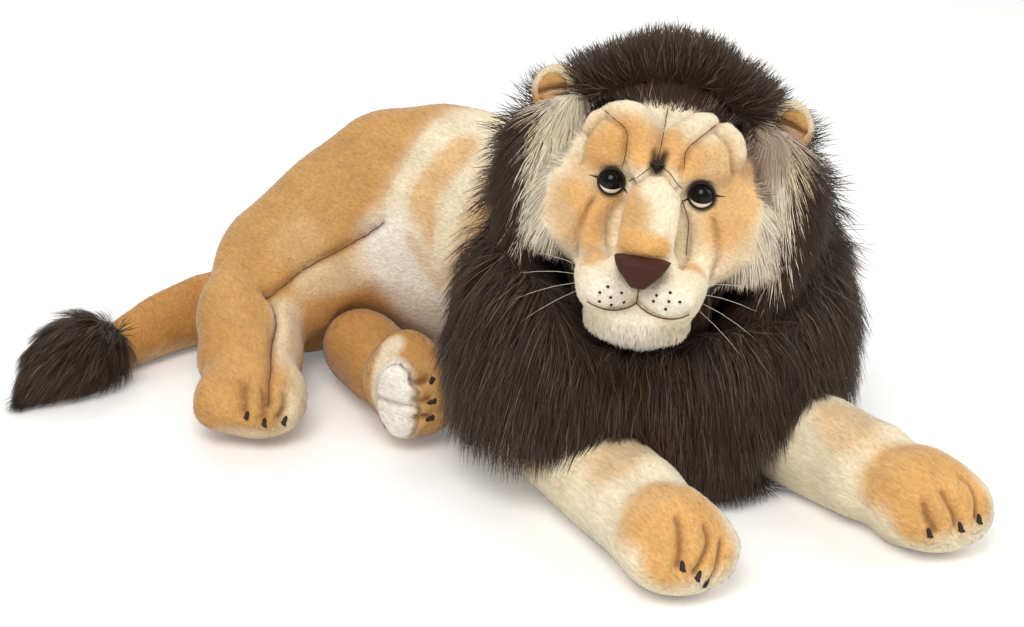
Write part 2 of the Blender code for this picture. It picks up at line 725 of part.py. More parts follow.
def build_ears(head, crown, ruffs):
    """Small round ears, each a folded cup with its lining, hinged where it is sewn on."""
    for (word, side), ruff in zip(SIDES, ruffs):
        at = spots([EAR_SPOT_SHARES], (side * CROWN_RADIUS, CROWN_RADIUS, CROWN_RADIUS))[0]
        hub = empty("ear_fold_" + word, at, (0, side * EAR_LEAN, 0), head)
        shell = puff("ear_" + word, (0, 0, EAR_TALL / 2), (EAR_WIDTH / 2, EAR_THICK / 2, EAR_TALL / 2), rings=8)
        ear = place_object("ear_" + word, shell, "golden_plush", hub)
        spot = (0, -EAR_HOLLOW_SPOT_SHARES[0] * EAR_THICK, EAR_HOLLOW_SPOT_SHARES[1] * EAR_TALL)
        radii = [share * size for share, size in zip(EAR_HOLLOW_RADIUS_SHARES, (EAR_WIDTH, EAR_THICK, EAR_TALL))]
        hollow = place_object("ear_hollow_" + word, puff("ear_hollow_" + word, spot, radii), parent=hub)
        lining = place_object("ear_lining_" + word, grown(hollow.data, -SEAM), "cream_plush", hub)
        scoop = place_object("ear_scoop_" + word, grown(hollow.data, -EAR_LINING), parent=hub)
        scoop.location = (0, -EAR_LINING, 0)
        cut(ear, hollow)
        cut(lining, scoop)
        keep_inside(lining, place_object("ear_form_" + word, shell.copy(), parent=hub))
        sweep = sweep_room("ear_sweep_" + word, [ear], "X", EAR_RANGE)
        cut(crown, sweep)
        cut(ruff, sweep)


WHISKER_PATH_SHARES = ((0.0, 0.0), (0.4, -0.03), (0.7, -0.09), (1.0, -0.18))


def build_whiskers(head, pads):
    """Stiff nylon whiskers, fanned from each lip, as a list for each side."""
    fans = []
    for word, side in SIDES:
        fans.append([])
        lip = pads["muzzle_" + word]
        middle = sum((corner.co for corner in lip.data.vertices), Vector()) / len(lip.data.vertices)
        for k in range(WHISKER_COUNT):
            share = k / (WHISKER_COUNT - 1)
            name = f"whisker_{word}_{k + 1}"
            way = Vector((side * WHISKER_OUT, -math.sin(WHISKER_FAN * (1 - share)), WHISKER_RISE - share)).normalized()
            start = middle + way * MUZZLE_TALL * WHISKER_ROOT_SHARE
            path = [
                start + way * WHISKER_LENGTH * along + Vector((0, 0, droop * WHISKER_LENGTH))
                for along, droop in WHISKER_PATH_SHARES
            ]
            girths = [(WHISKER_DIAMETER / 2, WHISKER_DIAMETER / 2)] * len(path)
            mesh = swell(name, path, girths, 5, 5, (0.05, 0.3))
            whisker = place_object(name, mesh, "whisker_nylon", head)
            cut(lip, room(whisker))
            fans[-1].append(whisker)
    return fans


FORELEG_PATH_SHARES = ((0, 0.06), (0, -0.20), (0, -0.46), (0, -0.68), (0, -0.84))
FORELEG_GIRTH_SHARES = ((0.46, 0.50), (0.50, 0.50), (0.50, 0.47), (0.47, 0.43), (0.44, 0.40))
PAW_PATH_SHARES = ((0, 0.0), (0, -0.40), (0, -0.75), (0, -1.0))
PAW_GIRTH_SHARES = ((0.40, 0.46), (0.50, 0.53), (0.49, 0.47), (0.40, 0.38))
SOLE_SPOT_SHARE = 0.58
SOLE_RADIUS_SHARES = (0.30, 0.27)


def build_paw(name, hub, reach, size, finish):
    """A paw that lies on the floor at the end of a limb, size being its width, length and height."""
    girths = [(w * size[0], h * size[2]) for w, h in PAW_GIRTH_SHARES]
    points = [point - Vector((0, reach - size[1], 0)) for point in spots([(*row, 0) for row in PAW_PATH_SHARES], size)]
    path = lying(points, girths, LARGE_SIDES)
    return place_object(name, swell(name, path, girths, LARGE_SIDES, 8, (0.35, 0.4)), finish, hub)


def build_under_sole(name, hub, reach, size, finish, paw, floor):
    """A flat sole let into the underside of a paw."""
    spot = (0, SOLE_SPOT_SHARE * size[1] - reach, -FLAT_DEPTH)
    radii = (SOLE_RADIUS_SHARES[0] * size[0], SOLE_RADIUS_SHARES[1] * size[1], SOLE_THICK)
    sole = place_object(name, puff(name, spot, radii), finish, hub)
    cut(paw, floor, room(sole))
    cut(sole, floor)
    return sole


def build_leg(name, hub, path_shares, girth_shares, size, finish, ends=(0.3, 0.3)):
    """A stuffed limb that lies on the floor, size being its width, reach and height."""
    girths = [(w * size[0], h * size[2]) for w, h in girth_shares]
    path = lying(spots([(*row, 0) for row in path_shares], size), girths)
    return place_object(name, swell(name, path, girths, ends=ends), finish, hub)


def build_forelegs(floor):
    """The stretched forelegs, each with its paw and a sole let in underneath."""
    legs = {}
    spread = Matrix.Rotation(SHOULDER_TURN, 3, "Z") @ Vector((SHOULDER_SPREAD / 2, 0, 0))
    for word, side in SIDES:
        at = Vector((SHOULDER_ASIDE, -SHOULDER_FORWARD, 0)) + side * spread
        hub = empty("foreleg_swing_" + word, at, (0, 0, FORELEG_TURN[word]))
        size = (FORELEG_WIDTH, FORELEG_REACH, FORELEG_TALL)
        leg = build_leg(
            "foreleg_" + word, hub, FORELEG_PATH_SHARES, FORELEG_GIRTH_SHARES, size, "cream_plush", (0.2, 0.3)
        )
        size = (FOREPAW_WIDTH, FOREPAW_LENGTH, FOREPAW_TALL)
        paw = build_paw("forepaw_" + word, hub, FORELEG_REACH, size, "cream_plush")
        build_under_sole("forepaw_sole_" + word, hub, FORELEG_REACH, size, "golden_plush", paw, floor)
        cut(leg, floor, room(paw))
        legs[word] = (leg, paw)
    return legs


THIGH_PATH_SHARES = ((0.13, 0.09), (-0.22, 0.04), (-0.52, -0.04), (-0.76, -0.13))
THIGH_GIRTH_SHARES = ((0.39, 0.56), (0.41, 0.49), (0.35, 0.375), (0.24, 0.28))
FAR_THIGH_PATH_SHARES = ((0.22, 0.14), (0.31, -0.04), (0.38, -0.25), (0.43, -0.52))
FAR_THIGH_GIRTH_SHARES = ((0.32, 0.40), (0.34, 0.43), (0.30, 0.38), (0.20, 0.28))


def build_thighs(torso, cutters, floor):
    """The two haunches. The near one stands over the bent knee and the far one lies under the hip."""
    hip = spine_place(4)
    tables = (
        ("thigh_right", THIGH_PATH_SHARES, THIGH_GIRTH_SHARES, cutters),
        ("thigh_left", FAR_THIGH_PATH_SHARES, FAR_THIGH_GIRTH_SHARES, ()),
    )
    for name, places, girth_shares, own_cutters in tables:
        girths = [(w * THIGH_LENGTH, h * THIGH_TALL) for w, h in girth_shares]
        points = [hip + point for point in spots([(*row, 0) for row in places], (THIGH_LENGTH, THIGH_LENGTH, 1))]
        mesh = swell(name, lying(points, girths, LARGE_SIDES), girths, LARGE_SIDES, 8, (0.3, 0.4))
        thigh = place_object(name, mesh, "golden_plush")
        cut(thigh, floor, room(torso), *own_cutters)


SHANK_PATH_SHARES = ((0, 0.22), (0, 0.0), (0, -0.35), (0, -0.70))
SHANK_GIRTH_SHARES = ((0.50, 0.50), (0.52, 0.48), (0.50, 0.41), (0.46, 0.34))
HOCK_PATH_SHARES = ((0, 0.22), (0, 0.0), (0, -0.35), (0, -0.66))
HOCK_GIRTH_SHARES = ((0.50, 0.50), (0.50, 0.50), (0.46, 0.50), (0.40, 0.50))
SIDE_SOLE_SPOT_SHARES = (-0.36, 0.18, 0.53)
SIDE_SOLE_RADIUS_SHARES = (0.13, 0.26, 0.46)


def build_near_hindleg(floor):
    """The right lower hind leg, folded forward on the floor, with its paw and sole."""
    hub = empty("hindleg_swing_right", (KNEE_ASIDE, KNEE_BACK, 0), (0, 0, HINDLEG_TURN))
    size = (SHANK_WIDTH, HINDLEG_REACH, SHANK_TALL)
    leg = build_leg("hindleg_right", hub, SHANK_PATH_SHARES, SHANK_GIRTH_SHARES, size, "golden_plush")
    size = (HINDPAW_WIDTH, HINDPAW_LENGTH, HINDPAW_TALL)
    paw = build_paw("hindpaw_right", hub, HINDLEG_REACH, size, "golden_plush")
    build_under_sole("hindpaw_sole_right", hub, HINDLEG_REACH, size, "cream_plush", paw, floor)
    cut(leg, floor, room(paw))
    return [leg, paw]


def build_far_hindleg(floor):
    """The left lower hind leg, which comes out under the belly and lies on its side, sole showing."""
    hub = empty("hindleg_swing_left", (HOCK_ASIDE, HOCK_BACK, 0), (0, 0, FAR_PAW_TURN))
    size = (HOCK_WIDTH, FAR_PAW_REACH, HOCK_TALL)
    leg = build_leg("hindleg_left", hub, HOCK_PATH_SHARES, HOCK_GIRTH_SHARES, size, "golden_plush")
    size = (FAR_PAW_WIDTH, FAR_PAW_LENGTH, FAR_PAW_TALL)
    paw = build_paw("hindpaw_left", hub, FAR_PAW_REACH, size, "golden_plush")
    spot = spots([SIDE_SOLE_SPOT_SHARES], size)[0] - Vector((0, FAR_PAW_REACH, 0))
    radii = [share * side for share, side in zip(SIDE_SOLE_RADIUS_SHARES, size)]
    turn = Matrix.Rotation(SIDE_SOLE_TURN, 3, "Z")
    sole = place_object("hindpaw_sole_left", puff("hindpaw_sole_left", spot, radii, turn=turn), "white_plush", hub)
    cut(leg, floor, room(paw))
    cut(paw, floor)
    cut(sole, floor, room(paw), room(leg))
    return [leg, paw, sole]


TAIL_PATH_SHARES = ((0.14, 0.02), (-0.45, 0.0), (-0.80, -0.10), (-1.0, -0.20))
TAIL_GIRTH_SHARES = (0.50, 0.47, 0.37, 0.30)
TUFT_PATH_SHARES = ((0.18, 0.02), (-0.22, -0.08), (-0.60, -0.20), (-0.98, -0.36))
TUFT_GIRTH_SHARES = (0.30, 0.44, 0.38, 0.20)


def build_tail(floor):
    """The tail, lying on the floor, and its long-haired tuft."""
    hub = empty("tail_swing", (TAIL_ASIDE, TAIL_BACK, 0))
    girths = [(share * TAIL_ROOT, share * TAIL_ROOT) for share in TAIL_GIRTH_SHARES]
    points = spots([(*row, 0) for row in TAIL_PATH_SHARES], (TAIL_LENGTH, TAIL_LENGTH, 1))
    mesh = swell("tail", lying(points, girths), girths, ends=(0.25, 0.12))
    tail = place_object("tail", mesh, "golden_plush", hub)
    girths = [(share * TUFT_WIDTH, share * TUFT_WIDTH) for share in TUFT_GIRTH_SHARES]
    end = points[-1]
    points = [end + point for point in spots([(*row, 0) for row in TUFT_PATH_SHARES], (TUFT_LENGTH, TUFT_LENGTH, 1))]
    mesh = swell("tail_tuft", lying(points, girths), girths, ends=(0.3, 0.5))
    tuft = place_object("tail_tuft", mesh, "mane_pile", hub)
    cut(tail, floor)
    cut(tuft, floor, room(tail))
    return [tail, tuft]


def build_head(hub):
    """Every piece of the head, in the head's own frame, which nods in the neck's cup."""
    yaw = Matrix.Rotation(HEAD_YAW, 3, "Z")
    lean = Matrix.Rotation(HEAD_PITCH, 3, "X") @ Matrix.Rotation(HEAD_ROLL, 3, "Y")
    head = empty("head_nod", (0, 0, 0), (yaw @ lean).to_euler(), hub)
    skull, cover, stuffing = build_skull(head)
    ball = ball_about_head("face_ball", CROWN_RADIUS, head)
    pads = build_face(head, skull, ball)
    build_nose(head, pads)
    build_mouth(head, pads)
    build_eyes(head, cover, stuffing, pads)
    ruffs = build_ruffs(head, skull, pads, ball)
    crown = build_crown(head, skull, ruffs, pads)
    build_ears(head, crown, ruffs)
    return skull, pads, build_whiskers(head, pads)


def backwards(degrees):
    return [-angle for angle in degrees]


def main():
    clear_scene()
    bpy.context.collection.objects.link(bpy.data.objects.new("lion", None))
    bpy.data.objects["lion"].location = -spine_place(2)
    floor = floor_cutter()

    turn_hub = empty("head_turn", (HEAD_ASIDE, -HEAD_FORWARD, HEAD_HEIGHT))
    neck = build_neck(turn_hub)
    skull, pads, whiskers = build_head(turn_hub)
    cut(neck, head_sweep_room("neck_cup", [skull]))

    forelegs = build_forelegs(floor)
    sweeps = [
        sweep_room("foreleg_sweep_left", forelegs["left"], "Z", FORELEG_RANGE),
        sweep_room("foreleg_sweep_right", forelegs["right"], "Z", backwards(FORELEG_RANGE)),
    ]
    near = sweep_room("near_hindleg_sweep", build_near_hindleg(floor), "Z", HINDLEG_RANGE)
    far = sweep_room("far_hindleg_sweep", build_far_hindleg(floor), "Z", FAR_PAW_RANGE)
    tail = sweep_room("tail_sweep", build_tail(floor)[:1], "Z", backwards(TAIL_RANGE))

    torso, _ = build_torso([far, tail], floor)
    build_thighs(torso, [near, far, tail], floor)
    socket = ball_about_head("head_socket", socket_radius(CROWN_RADIUS), turn_hub)
    mouth = head_sweep_room("mouth_sweep", [pads[name] for name in ("chin", "muzzle_left", "muzzle_right")])
    whiskers = [head_sweep_room("whisker_sweep_" + word, rows) for (word, _), rows in zip(SIDES, whiskers)]
    build_mane([*sweeps, far, build_neck_hole(turn_hub), socket, mouth, *whiskers, room(torso)])


if __name__ == "__main__":
    main()
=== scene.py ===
"""Plush lion lying down: padded skins, combed fur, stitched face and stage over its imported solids."""

import math

import bmesh
import bpy
import numpy as np
from bpy.props import FloatProperty, FloatVectorProperty, IntProperty, PointerProperty
from mathutils import Matrix, Vector
from mathutils.bvhtree import BVHTree
from mathutils.kdtree import KDTree


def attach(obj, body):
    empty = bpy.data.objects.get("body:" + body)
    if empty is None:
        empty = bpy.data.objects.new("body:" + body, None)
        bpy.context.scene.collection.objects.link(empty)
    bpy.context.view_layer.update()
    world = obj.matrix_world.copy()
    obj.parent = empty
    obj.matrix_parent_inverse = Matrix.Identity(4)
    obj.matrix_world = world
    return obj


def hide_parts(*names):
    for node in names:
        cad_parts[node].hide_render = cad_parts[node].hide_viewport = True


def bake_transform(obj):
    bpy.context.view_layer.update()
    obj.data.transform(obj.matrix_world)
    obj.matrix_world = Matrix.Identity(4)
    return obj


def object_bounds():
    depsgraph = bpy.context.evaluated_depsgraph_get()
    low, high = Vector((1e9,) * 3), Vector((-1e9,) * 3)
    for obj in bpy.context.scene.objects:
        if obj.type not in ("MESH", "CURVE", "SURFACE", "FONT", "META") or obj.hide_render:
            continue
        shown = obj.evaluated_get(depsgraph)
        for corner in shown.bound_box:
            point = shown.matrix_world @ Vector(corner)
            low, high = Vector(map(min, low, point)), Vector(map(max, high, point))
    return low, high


bl_info = {
    "name": "Plush Lion",
    "version": (1, 0, 0),
    "blender": (4, 5, 0),
    "location": "3D View > Sidebar > Plush Lion",
    "description": "Dresses the solids of a lying plush lion in padded skins and combed fur",
    "category": "Object",
}

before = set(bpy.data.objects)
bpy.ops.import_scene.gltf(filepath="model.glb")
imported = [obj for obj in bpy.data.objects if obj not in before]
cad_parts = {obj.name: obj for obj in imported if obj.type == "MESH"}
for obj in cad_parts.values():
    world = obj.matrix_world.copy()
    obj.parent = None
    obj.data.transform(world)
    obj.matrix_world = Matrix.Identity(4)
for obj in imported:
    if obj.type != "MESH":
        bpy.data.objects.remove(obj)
CAD_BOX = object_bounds()

# The head's own axes: its left, its back and its top. The face looks along the back axis, reversed.
HEAD_CENTRE = np.array((0.006, -0.266, 0.27))
HEAD_AXES = np.array(
    ((0.7825, -0.6109, -0.1207), (0.596, 0.7909, -0.1392), (0.1805, 0.037, 0.9829))
)
DOWN = np.array((0.0, 0.0, -1.0))
# How far hair may stand outside the solids' box.
HAIR_ROOM = np.array((0.026, 0.03, 0.02))
# Points nearer than this are merged, and how far the cloth stays above the floor.
MERGE = 1e-5
FLOOR_GAP = 0.0006
# How many steps a stuffed piece's filling is given to settle.
FILL_FRAMES = 20
STRANDS_PER_LOCK = 14
# A strand's painted light at its tip, as a share of its dye, and where along it the rings of a long
# strand stand.
TIP_LIGHT = 1.06
LONG_ROWS = (0, 0.55)
SIDES = ((1, "left"), (-1, "right"))
# Each skin's voxel, its rounds of smoothing and, where it has one, the length that it bridges.
BODY_SKIN = (0.006, 4, 0.012)
LIMB_SKIN = (0.0045, 4, 0.01)
TAIL_SKIN = (0.0045, 4)
FACE_SKIN = (0.0028, 5, 0.009)
NOSE_SKIN = (0.0013, 16)
EAR_SKIN = (0.0014, 6)
LINING_SKIN = (0.0014, 4)
MANE_SKIN = (0.006, 4)
CROWN_SKIN = (0.005, 4)
RUFF_SKIN = (0.004, 3)
# Steps of sewing: how wide and how deep each draws the cloth in.
BODY_SEWING = ((0.008, 0.005), (0.0035, 0.0035))
TOE_SEWING = ((0.006, 0.004), (0.003, 0.003))
SOLE_SEWING = ((0.003, 0.003),)
FACE_SEWING = ((0.006, 0.0035), (0.0028, 0.0026))


def linear(*levels):
    """A dye, given as it is seen from 0 to 255, in the shader's linear scale."""
    return tuple(
        share / 12.92 if share <= 0.04045 else ((share + 0.055) / 1.055) ** 2.4
        for share in (level / 255 for level in levels)
    )


# Sizes and dyes


def length(name, description, default):
    return FloatProperty(
        name=name, description=description, default=default, min=0.0001, max=0.3, unit="LENGTH"
    )


def dye(name, description, *levels):
    return FloatVectorProperty(
        name=name, description=description, default=linear(*levels), size=3, min=0, max=1,
        subtype="COLOR",
    )


def strands(name, description, default):
    return IntProperty(name=name, description=description, default=default, min=100, max=60000)


class LionSizes(bpy.types.PropertyGroup):
    """Lengths of the hair and the pile, and how many strands each has."""

    chest_hair: length("Chest hair", "Length of the mane's hair on the chest", 0.064)
    crown_hair: length("Crown hair", "Length of the mane's hair round the head", 0.042)
    ruff_hair: length("Ruff hair", "Length of the pale hair beside the face", 0.04)
    tuft_hair: length("Tuft hair", "Length of the hair at the tail's end", 0.04)
    beard_hair: length("Chin hair", "Length of the white hair under the lips", 0.01)
    coat_pile: length("Coat pile", "Length of the golden pile", 0.006)
    face_pile: length("Face pile", "Length of the pile on the face", 0.004)
    hair_width: length("Hair width", "Width of a strand of the mane at its thickest", 0.0011)
    pile_width: length("Pile width", "Width of a fibre of the pile at its root", 0.0009)
    eye_radius: length("Eye radius", "Radius of an eye's dome", 0.0104)
    thread_radius: length("Thread radius", "Radius of the seams' sewing thread", 0.00055)
    puff: length("Puff", "How far the filling may press a skin outward", 0.005)
    chest_strands: strands("Chest strands", "Strands in each half of the chest's hair", 18000)
    crown_strands: strands("Crown strands", "Strands of hair round the head", 17500)
    nape_strands: strands("Nape strands", "Strands of hair behind the head", 6500)
    ruff_strands: strands("Ruff strands", "Strands of each ruff", 7000)
    tuft_strands: strands("Tuft strands", "Strands of the tail's tuft", 6500)
    coat_strands: strands("Coat fibres", "Fibres of pile on the body", 40000)
    limb_strands: strands("Limb fibres", "Fibres of pile on each leg", 12500)
    face_strands: strands("Face fibres", "Fibres of pile on the face", 34000)
    tail_strands: strands("Tail fibres", "Fibres of pile on the tail", 9000)
    ear_strands: strands("Ear fibres", "Fibres of pile on each ear", 4000)
    hairline_strands: strands("Hairline strands", "Strands over the brows", 8000)
    jaw_strands: strands("Jaw strands", "Strands of hair under the jaw", 4500)
    chin_strands: strands("Chin strands", "Strands of the white hair on the chin", 4500)


class LionDyes(bpy.types.PropertyGroup):
    """Dyes of the cloths, hairs and threads."""

    golden: dye("Golden", "Back and haunches", 206, 157, 96)
    tawny: dye("Tawny", "Hind shins and tail", 200, 146, 82)
    orange: dye("Orange", "Sprayed patches on the face, paws and flank", 224, 172, 106)
    cream: dye("Cream", "Forelegs, flank and face", 244, 228, 196)
    white: dye("White", "Belly, lips and chin", 248, 240, 226)
    seam: dye("Seam", "Sewing thread and the shade in a crease", 112, 74, 46)
    mane_dark: dye("Dark mane", "Most hairs of the mane", 64, 48, 36)
    # Single lighter hairs: lighter fibres in the mane, and also painted glints where light catches
    # single hairs.
    mane_light: dye("Light mane", "Single lighter hairs of the mane", 124, 104, 82)
    ruff_pale: dye("Pale ruff", "Ruffs beside the face", 242, 228, 202)
    ruff_grey: dye("Grey ruff", "Ruffs near the ears", 176, 152, 132)
    ruff_gold: dye("Golden ruff", "Outer and lower ends of the ruffs", 220, 192, 130)
    nose: dye("Nose", "Nose velour", 66, 32, 25)
    dark: dye("Black", "Claw marks and eye corners", 38, 24, 18)


# Arrays and places


def unit(vectors):
    return vectors / np.maximum(np.linalg.norm(vectors, axis=-1, keepdims=True), 1e-9)


def eased(share):
    share = np.clip(share, 0, 1)
    return share * share * (3 - 2 * share)


def on_head(*place):
    """A place given in the head's own axes, in the frame."""
    return HEAD_CENTRE + np.array(place) @ HEAD_AXES


def in_head(points):
    return (points - HEAD_CENTRE) @ HEAD_AXES.T


def head_path(*places):
    return [on_head(*place) for place in places]


def distance_to(points, path):
    """Each point's distance to the nearest stretch of a path, or to its one place."""
    path = np.atleast_2d(np.array(path, float))
    nearest = np.linalg.norm(points - path[0], axis=1)
    for start, end in zip(path[:-1], path[1:]):
        way = end - start
        share = np.clip((points - start) @ way / max(way @ way, 1e-12), 0, 1)
        nearest = np.minimum(nearest, np.linalg.norm(points - start - share[:, None] * way, axis=1))
    return nearest


def sprayed(points, base, sprays, dyes):
    """The colour at each point: a base dye, and soft sprays of (path, radius, dye, strength) over it;
    among the sprays are painted shade and a painted highlight.
    """
    colours = np.tile(np.array(getattr(dyes, base)), (len(points), 1))
    for path, radius, name, strength in sprays:
        share = strength * (1 - eased((distance_to(points, path) / radius - 0.35) / 0.65))
        colours += share[:, None] * (np.array(getattr(dyes, name)) - colours)
    return colours


# Meshes


def deselect():
    bpy.ops.object.select_all(action="DESELECT")


def pick(piece):
    deselect()
    piece.select_set(True)
    bpy.context.view_layer.objects.active = piece


def apply_modifiers(piece):
    pick(piece)
    for modifier in list(piece.modifiers):
        bpy.ops.object.modifier_apply(modifier=modifier.name)


def rows_of(items, field, kind=float):
    """A field of three numbers of every item, as an array."""
    rows = np.empty(len(items) * 3, kind)
    items.foreach_get(field, rows)
    return rows.reshape(-1, 3)


def places_of(piece):
    return rows_of(piece.data.vertices, "co")


def normals_of(piece):
    return rows_of(piece.data.vertex_normals, "vector")


def triangles_of(piece):
    piece.data.calc_loop_triangles()
    return rows_of(piece.data.loop_triangles, "vertices", np.int32)


def move_to(piece, places, floor=None):
    """Moves the piece's points to these places, and up to a floor where there is one."""
    if floor is not None:
        places[:, 2] = np.maximum(places[:, 2], floor)
    piece.data.vertices.foreach_set("co", np.ascontiguousarray(places).reshape(-1))
    piece.data.update()


def tree_of(*pieces):
    """A search tree of these pieces' surfaces."""
    places, faces, first = [], [], 0
    for piece in pieces:
        points = places_of(piece)
        places.extend(map(tuple, points))
        faces.extend(map(tuple, triangles_of(piece) + first))
        first += len(points)
    return BVHTree.FromPolygons(places, faces)


def linked(name, data):
    """A new piece of this data, in the scene."""
    piece = bpy.data.objects.new(name, data)
    bpy.context.scene.collection.objects.link(piece)
    return piece


def shade_smooth(piece):
    piece.data.polygons.foreach_set("use_smooth", np.ones(len(piece.data.polygons), bool))


def mesh_piece(name, places, triangles):
    """A new piece from arrays of places and triangles."""
    mesh = bpy.data.meshes.new(name)
    mesh.vertices.add(len(places))
    mesh.vertices.foreach_set("co", np.ascontiguousarray(places, np.float32).reshape(-1))
    mesh.loops.add(triangles.size)
    mesh.loops.foreach_set("vertex_index", np.ascontiguousarray(triangles, np.int32).reshape(-1))
    mesh.polygons.add(len(triangles))
    mesh.polygons.foreach_set("loop_start", np.arange(len(triangles), dtype=np.int32) * 3)
    mesh.polygons.foreach_set("use_smooth", np.ones(len(triangles), bool))
    mesh.update(calc_edges=True)
    return linked(name, mesh)


def merged(name, nodes):
    """A new piece of copies of these solids, with their loose triangles merged."""
    form = bmesh.new()
    for node in nodes:
        form.from_mesh(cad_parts[node].data)
    bmesh.ops.remove_doubles(form, verts=form.verts, dist=MERGE)
    mesh = bpy.data.meshes.new(name)
    form.to_mesh(mesh)
    form.free()
    return linked(name, mesh)


def paint(piece, colours):
    """Stores the colour of each point, its dye with any painted shade and light, which the cloths'
    materials read.
    """
    layer = piece.data.color_attributes.new("dye", "FLOAT_COLOR", "POINT")
    rows = np.ones((len(piece.data.vertices), 4))
    rows[:, :3] = colours
    layer.data.foreach_set("color", rows.reshape(-1))


def modify(piece, kind, **settings):
    """Adds a modifier with these settings."""
    modifier = piece.modifiers.new(kind.title(), kind)
    for name, value in settings.items():
        setattr(modifier, name, value)


def skin(name, nodes, voxel, rounds, bridged=0.0):
    """One closed skin round these solids: their copies joined, remeshed and smoothed.
    Hollows narrower than twice the bridged length are spanned, as stretched cloth spans them."""
    piece = merged(name, nodes)
    remesh(piece, voxel)
    if bridged:
        swell(piece, bridged)
        remesh(piece, voxel)
        smooth(piece, 2)
        swell(piece, -bridged)
        remesh(piece, voxel)
    smooth(piece, rounds)
    apply_modifiers(piece)
    return piece


def remesh(piece, voxel):
    modify(piece, "REMESH", mode="VOXEL", voxel_size=voxel)


def smooth(piece, rounds, group=""):
    modify(piece, "SMOOTH", factor=0.5, iterations=rounds, vertex_group=group)


def swell(piece, reach):
    modify(piece, "DISPLACE", mid_level=0, strength=reach)


def fill(piece, puff):
    """Presses the filling against the skin by a short cloth simulation, no further than puff."""
    move_to(piece, places_of(piece) - normals_of(piece) * puff * 0.5)
    tight = places_of(piece)
    cloth = piece.modifiers.new("Cloth", "CLOTH")
    cloth.settings.quality = 4
    cloth.settings.use_pressure = True
    cloth.settings.uniform_pressure_force = 4
    cloth.settings.effector_weights.gravity = 0
    cloth.point_cache.frame_start = 1
    cloth.point_cache.frame_end = FILL_FRAMES
    for number in range(1, FILL_FRAMES + 1):
        bpy.context.scene.frame_set(number)
    apply_modifiers(piece)
    bpy.context.scene.frame_set(1)
    moved = places_of(piece) - tight
    reach = np.linalg.norm(moved, axis=1, keepdims=True)
    moved *= np.minimum(1, puff / np.maximum(reach, 1e-9))
    move_to(piece, tight + moved, FLOOR_GAP)


def crease(piece, paths, width, depth):
    """Draws the skin in along seams."""
    places = places_of(piece)
    normals = normals_of(piece)
    for path in paths:
        share = np.exp(-((distance_to(places, path) / width) ** 2))
        places -= normals * (share * depth)[:, None]
    move_to(piece, places)


def plump(piece, spots):
    """Fills the skin out, or draws it in, round each path by an amount that fades with distance."""
    places = places_of(piece)
    normals = normals_of(piece)
    push = sum(
        amount * (1 - eased(distance_to(places, path) / radius)) for path, radius, amount in spots
    )
    move_to(piece, places + normals * push[:, None])


def relax(piece, spots):
    """Smooths the skin round each path, strongest along it, so that a valley there is spanned."""
    for path, radius, rounds in spots:
        weights = 1 - eased(distance_to(places_of(piece), path) / radius)
        group = piece.vertex_groups.new(name="relaxed")
        for number in np.flatnonzero(weights > 0.01):
            group.add([int(number)], float(weights[number]), "REPLACE")
        smooth(piece, rounds, group.name)
        apply_modifiers(piece)
        piece.vertex_groups.clear()


def stuff(piece, puff, filling=(), valleys=()):
    """Presses the filling against a coat, fills it out along given paths, spans its valleys and divides
    it.
    """
    fill(piece, puff)
    if filling:
        plump(piece, filling)
    relax(piece, valleys)
    modify(piece, "SUBSURF", levels=1, render_levels=1)
    apply_modifiers(piece)


def finish(piece, material, body=None, nodes=()):
    """Gives the piece its finish, and says what it rides on and which solids it stands for."""
    piece.data.materials.clear()
    piece.data.materials.append(material)
    if body:
        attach(piece, body)
    if nodes:
        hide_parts(*nodes)
    return piece


def finish_skin(piece, body, nodes, colours, material):
    """Gives the skin its painted colour, its dye with painted shade and light, and its cloth, and sets
    it in place of its solids.
    """
    move_to(piece, places_of(piece), FLOOR_GAP / 2)
    shade_smooth(piece)
    paint(piece, colours(places_of(piece)))
    finish(piece, material, body, nodes)
    return piece


def backing(name, body, nodes, fineness, colours, material):
    """A skin that isn't stuffed, with its finish."""
    return finish_skin(skin(name, nodes, *fineness), body, nodes, colours, material)


# Fur


def strand_mesh(name, path_start, path_bend, path_tip, normals, width, rows, soft):
    """Closed three-sided strands, each along its own bent path and drawn to a point.
    The softer they are, the more they catch the light as the skin under them does."""
    count = len(path_start)
    rings, directions = [], []
    for share in rows:
        rings.append(
            (1 - share) ** 2 * path_start
            + 2 * share * (1 - share) * path_bend
            + share**2 * path_tip
        )
        directions.append(
            unit((1 - share) * (path_bend - path_start) + share * (path_tip - path_bend))
        )
    side = unit(np.cross(path_tip - path_start, normals))
    places = np.empty((count, 3 * len(rows) + 1, 3))
    facing = np.empty_like(places)
    for row, (share, centre, way) in enumerate(zip(rows, rings, directions)):
        half = (width / 2 * (1 - share**2) * (0.8 if row == 0 else 1.0))[:, None]
        top = unit(np.cross(side, way))
        places[:, 3 * row] = centre + side * half - top * half * 0.3
        places[:, 3 * row + 1] = centre + top * half * 0.6
        places[:, 3 * row + 2] = centre - side * half - top * half * 0.3
        for corner, away in enumerate((side, top, -side)):
            facing[:, 3 * row + corner] = unit(normals * soft + away * (1 - soft))
    places[:, -1] = path_tip
    facing[:, -1] = normals
    local = [(0, 2, 1)]
    for row in range(len(rows) - 1):
        for corner in range(3):
            near, far = 3 * row + corner, 3 * row + (corner + 1) % 3
            local += [(near, far, far + 3), (near, far + 3, near + 3)]
    last = 3 * len(rows) - 3
    local += [(last + corner, last + (corner + 1) % 3, last + 3) for corner in range(3)]
    local = np.array(local)
    per_strand = places.shape[1]
    triangles = (local[None] + (np.arange(count) * per_strand)[:, None, None]).reshape(-1, 3)
    corners = places[0][local]
    if np.einsum("ij,ij->", np.cross(corners[:, 0], corners[:, 1]), corners[:, 2]) < 0:
        triangles = triangles[:, ::-1]
    piece = mesh_piece(name, places.reshape(-1, 3), triangles)
    piece.data.normals_split_custom_set_from_vertices(facing.reshape(-1, 3))
    return piece


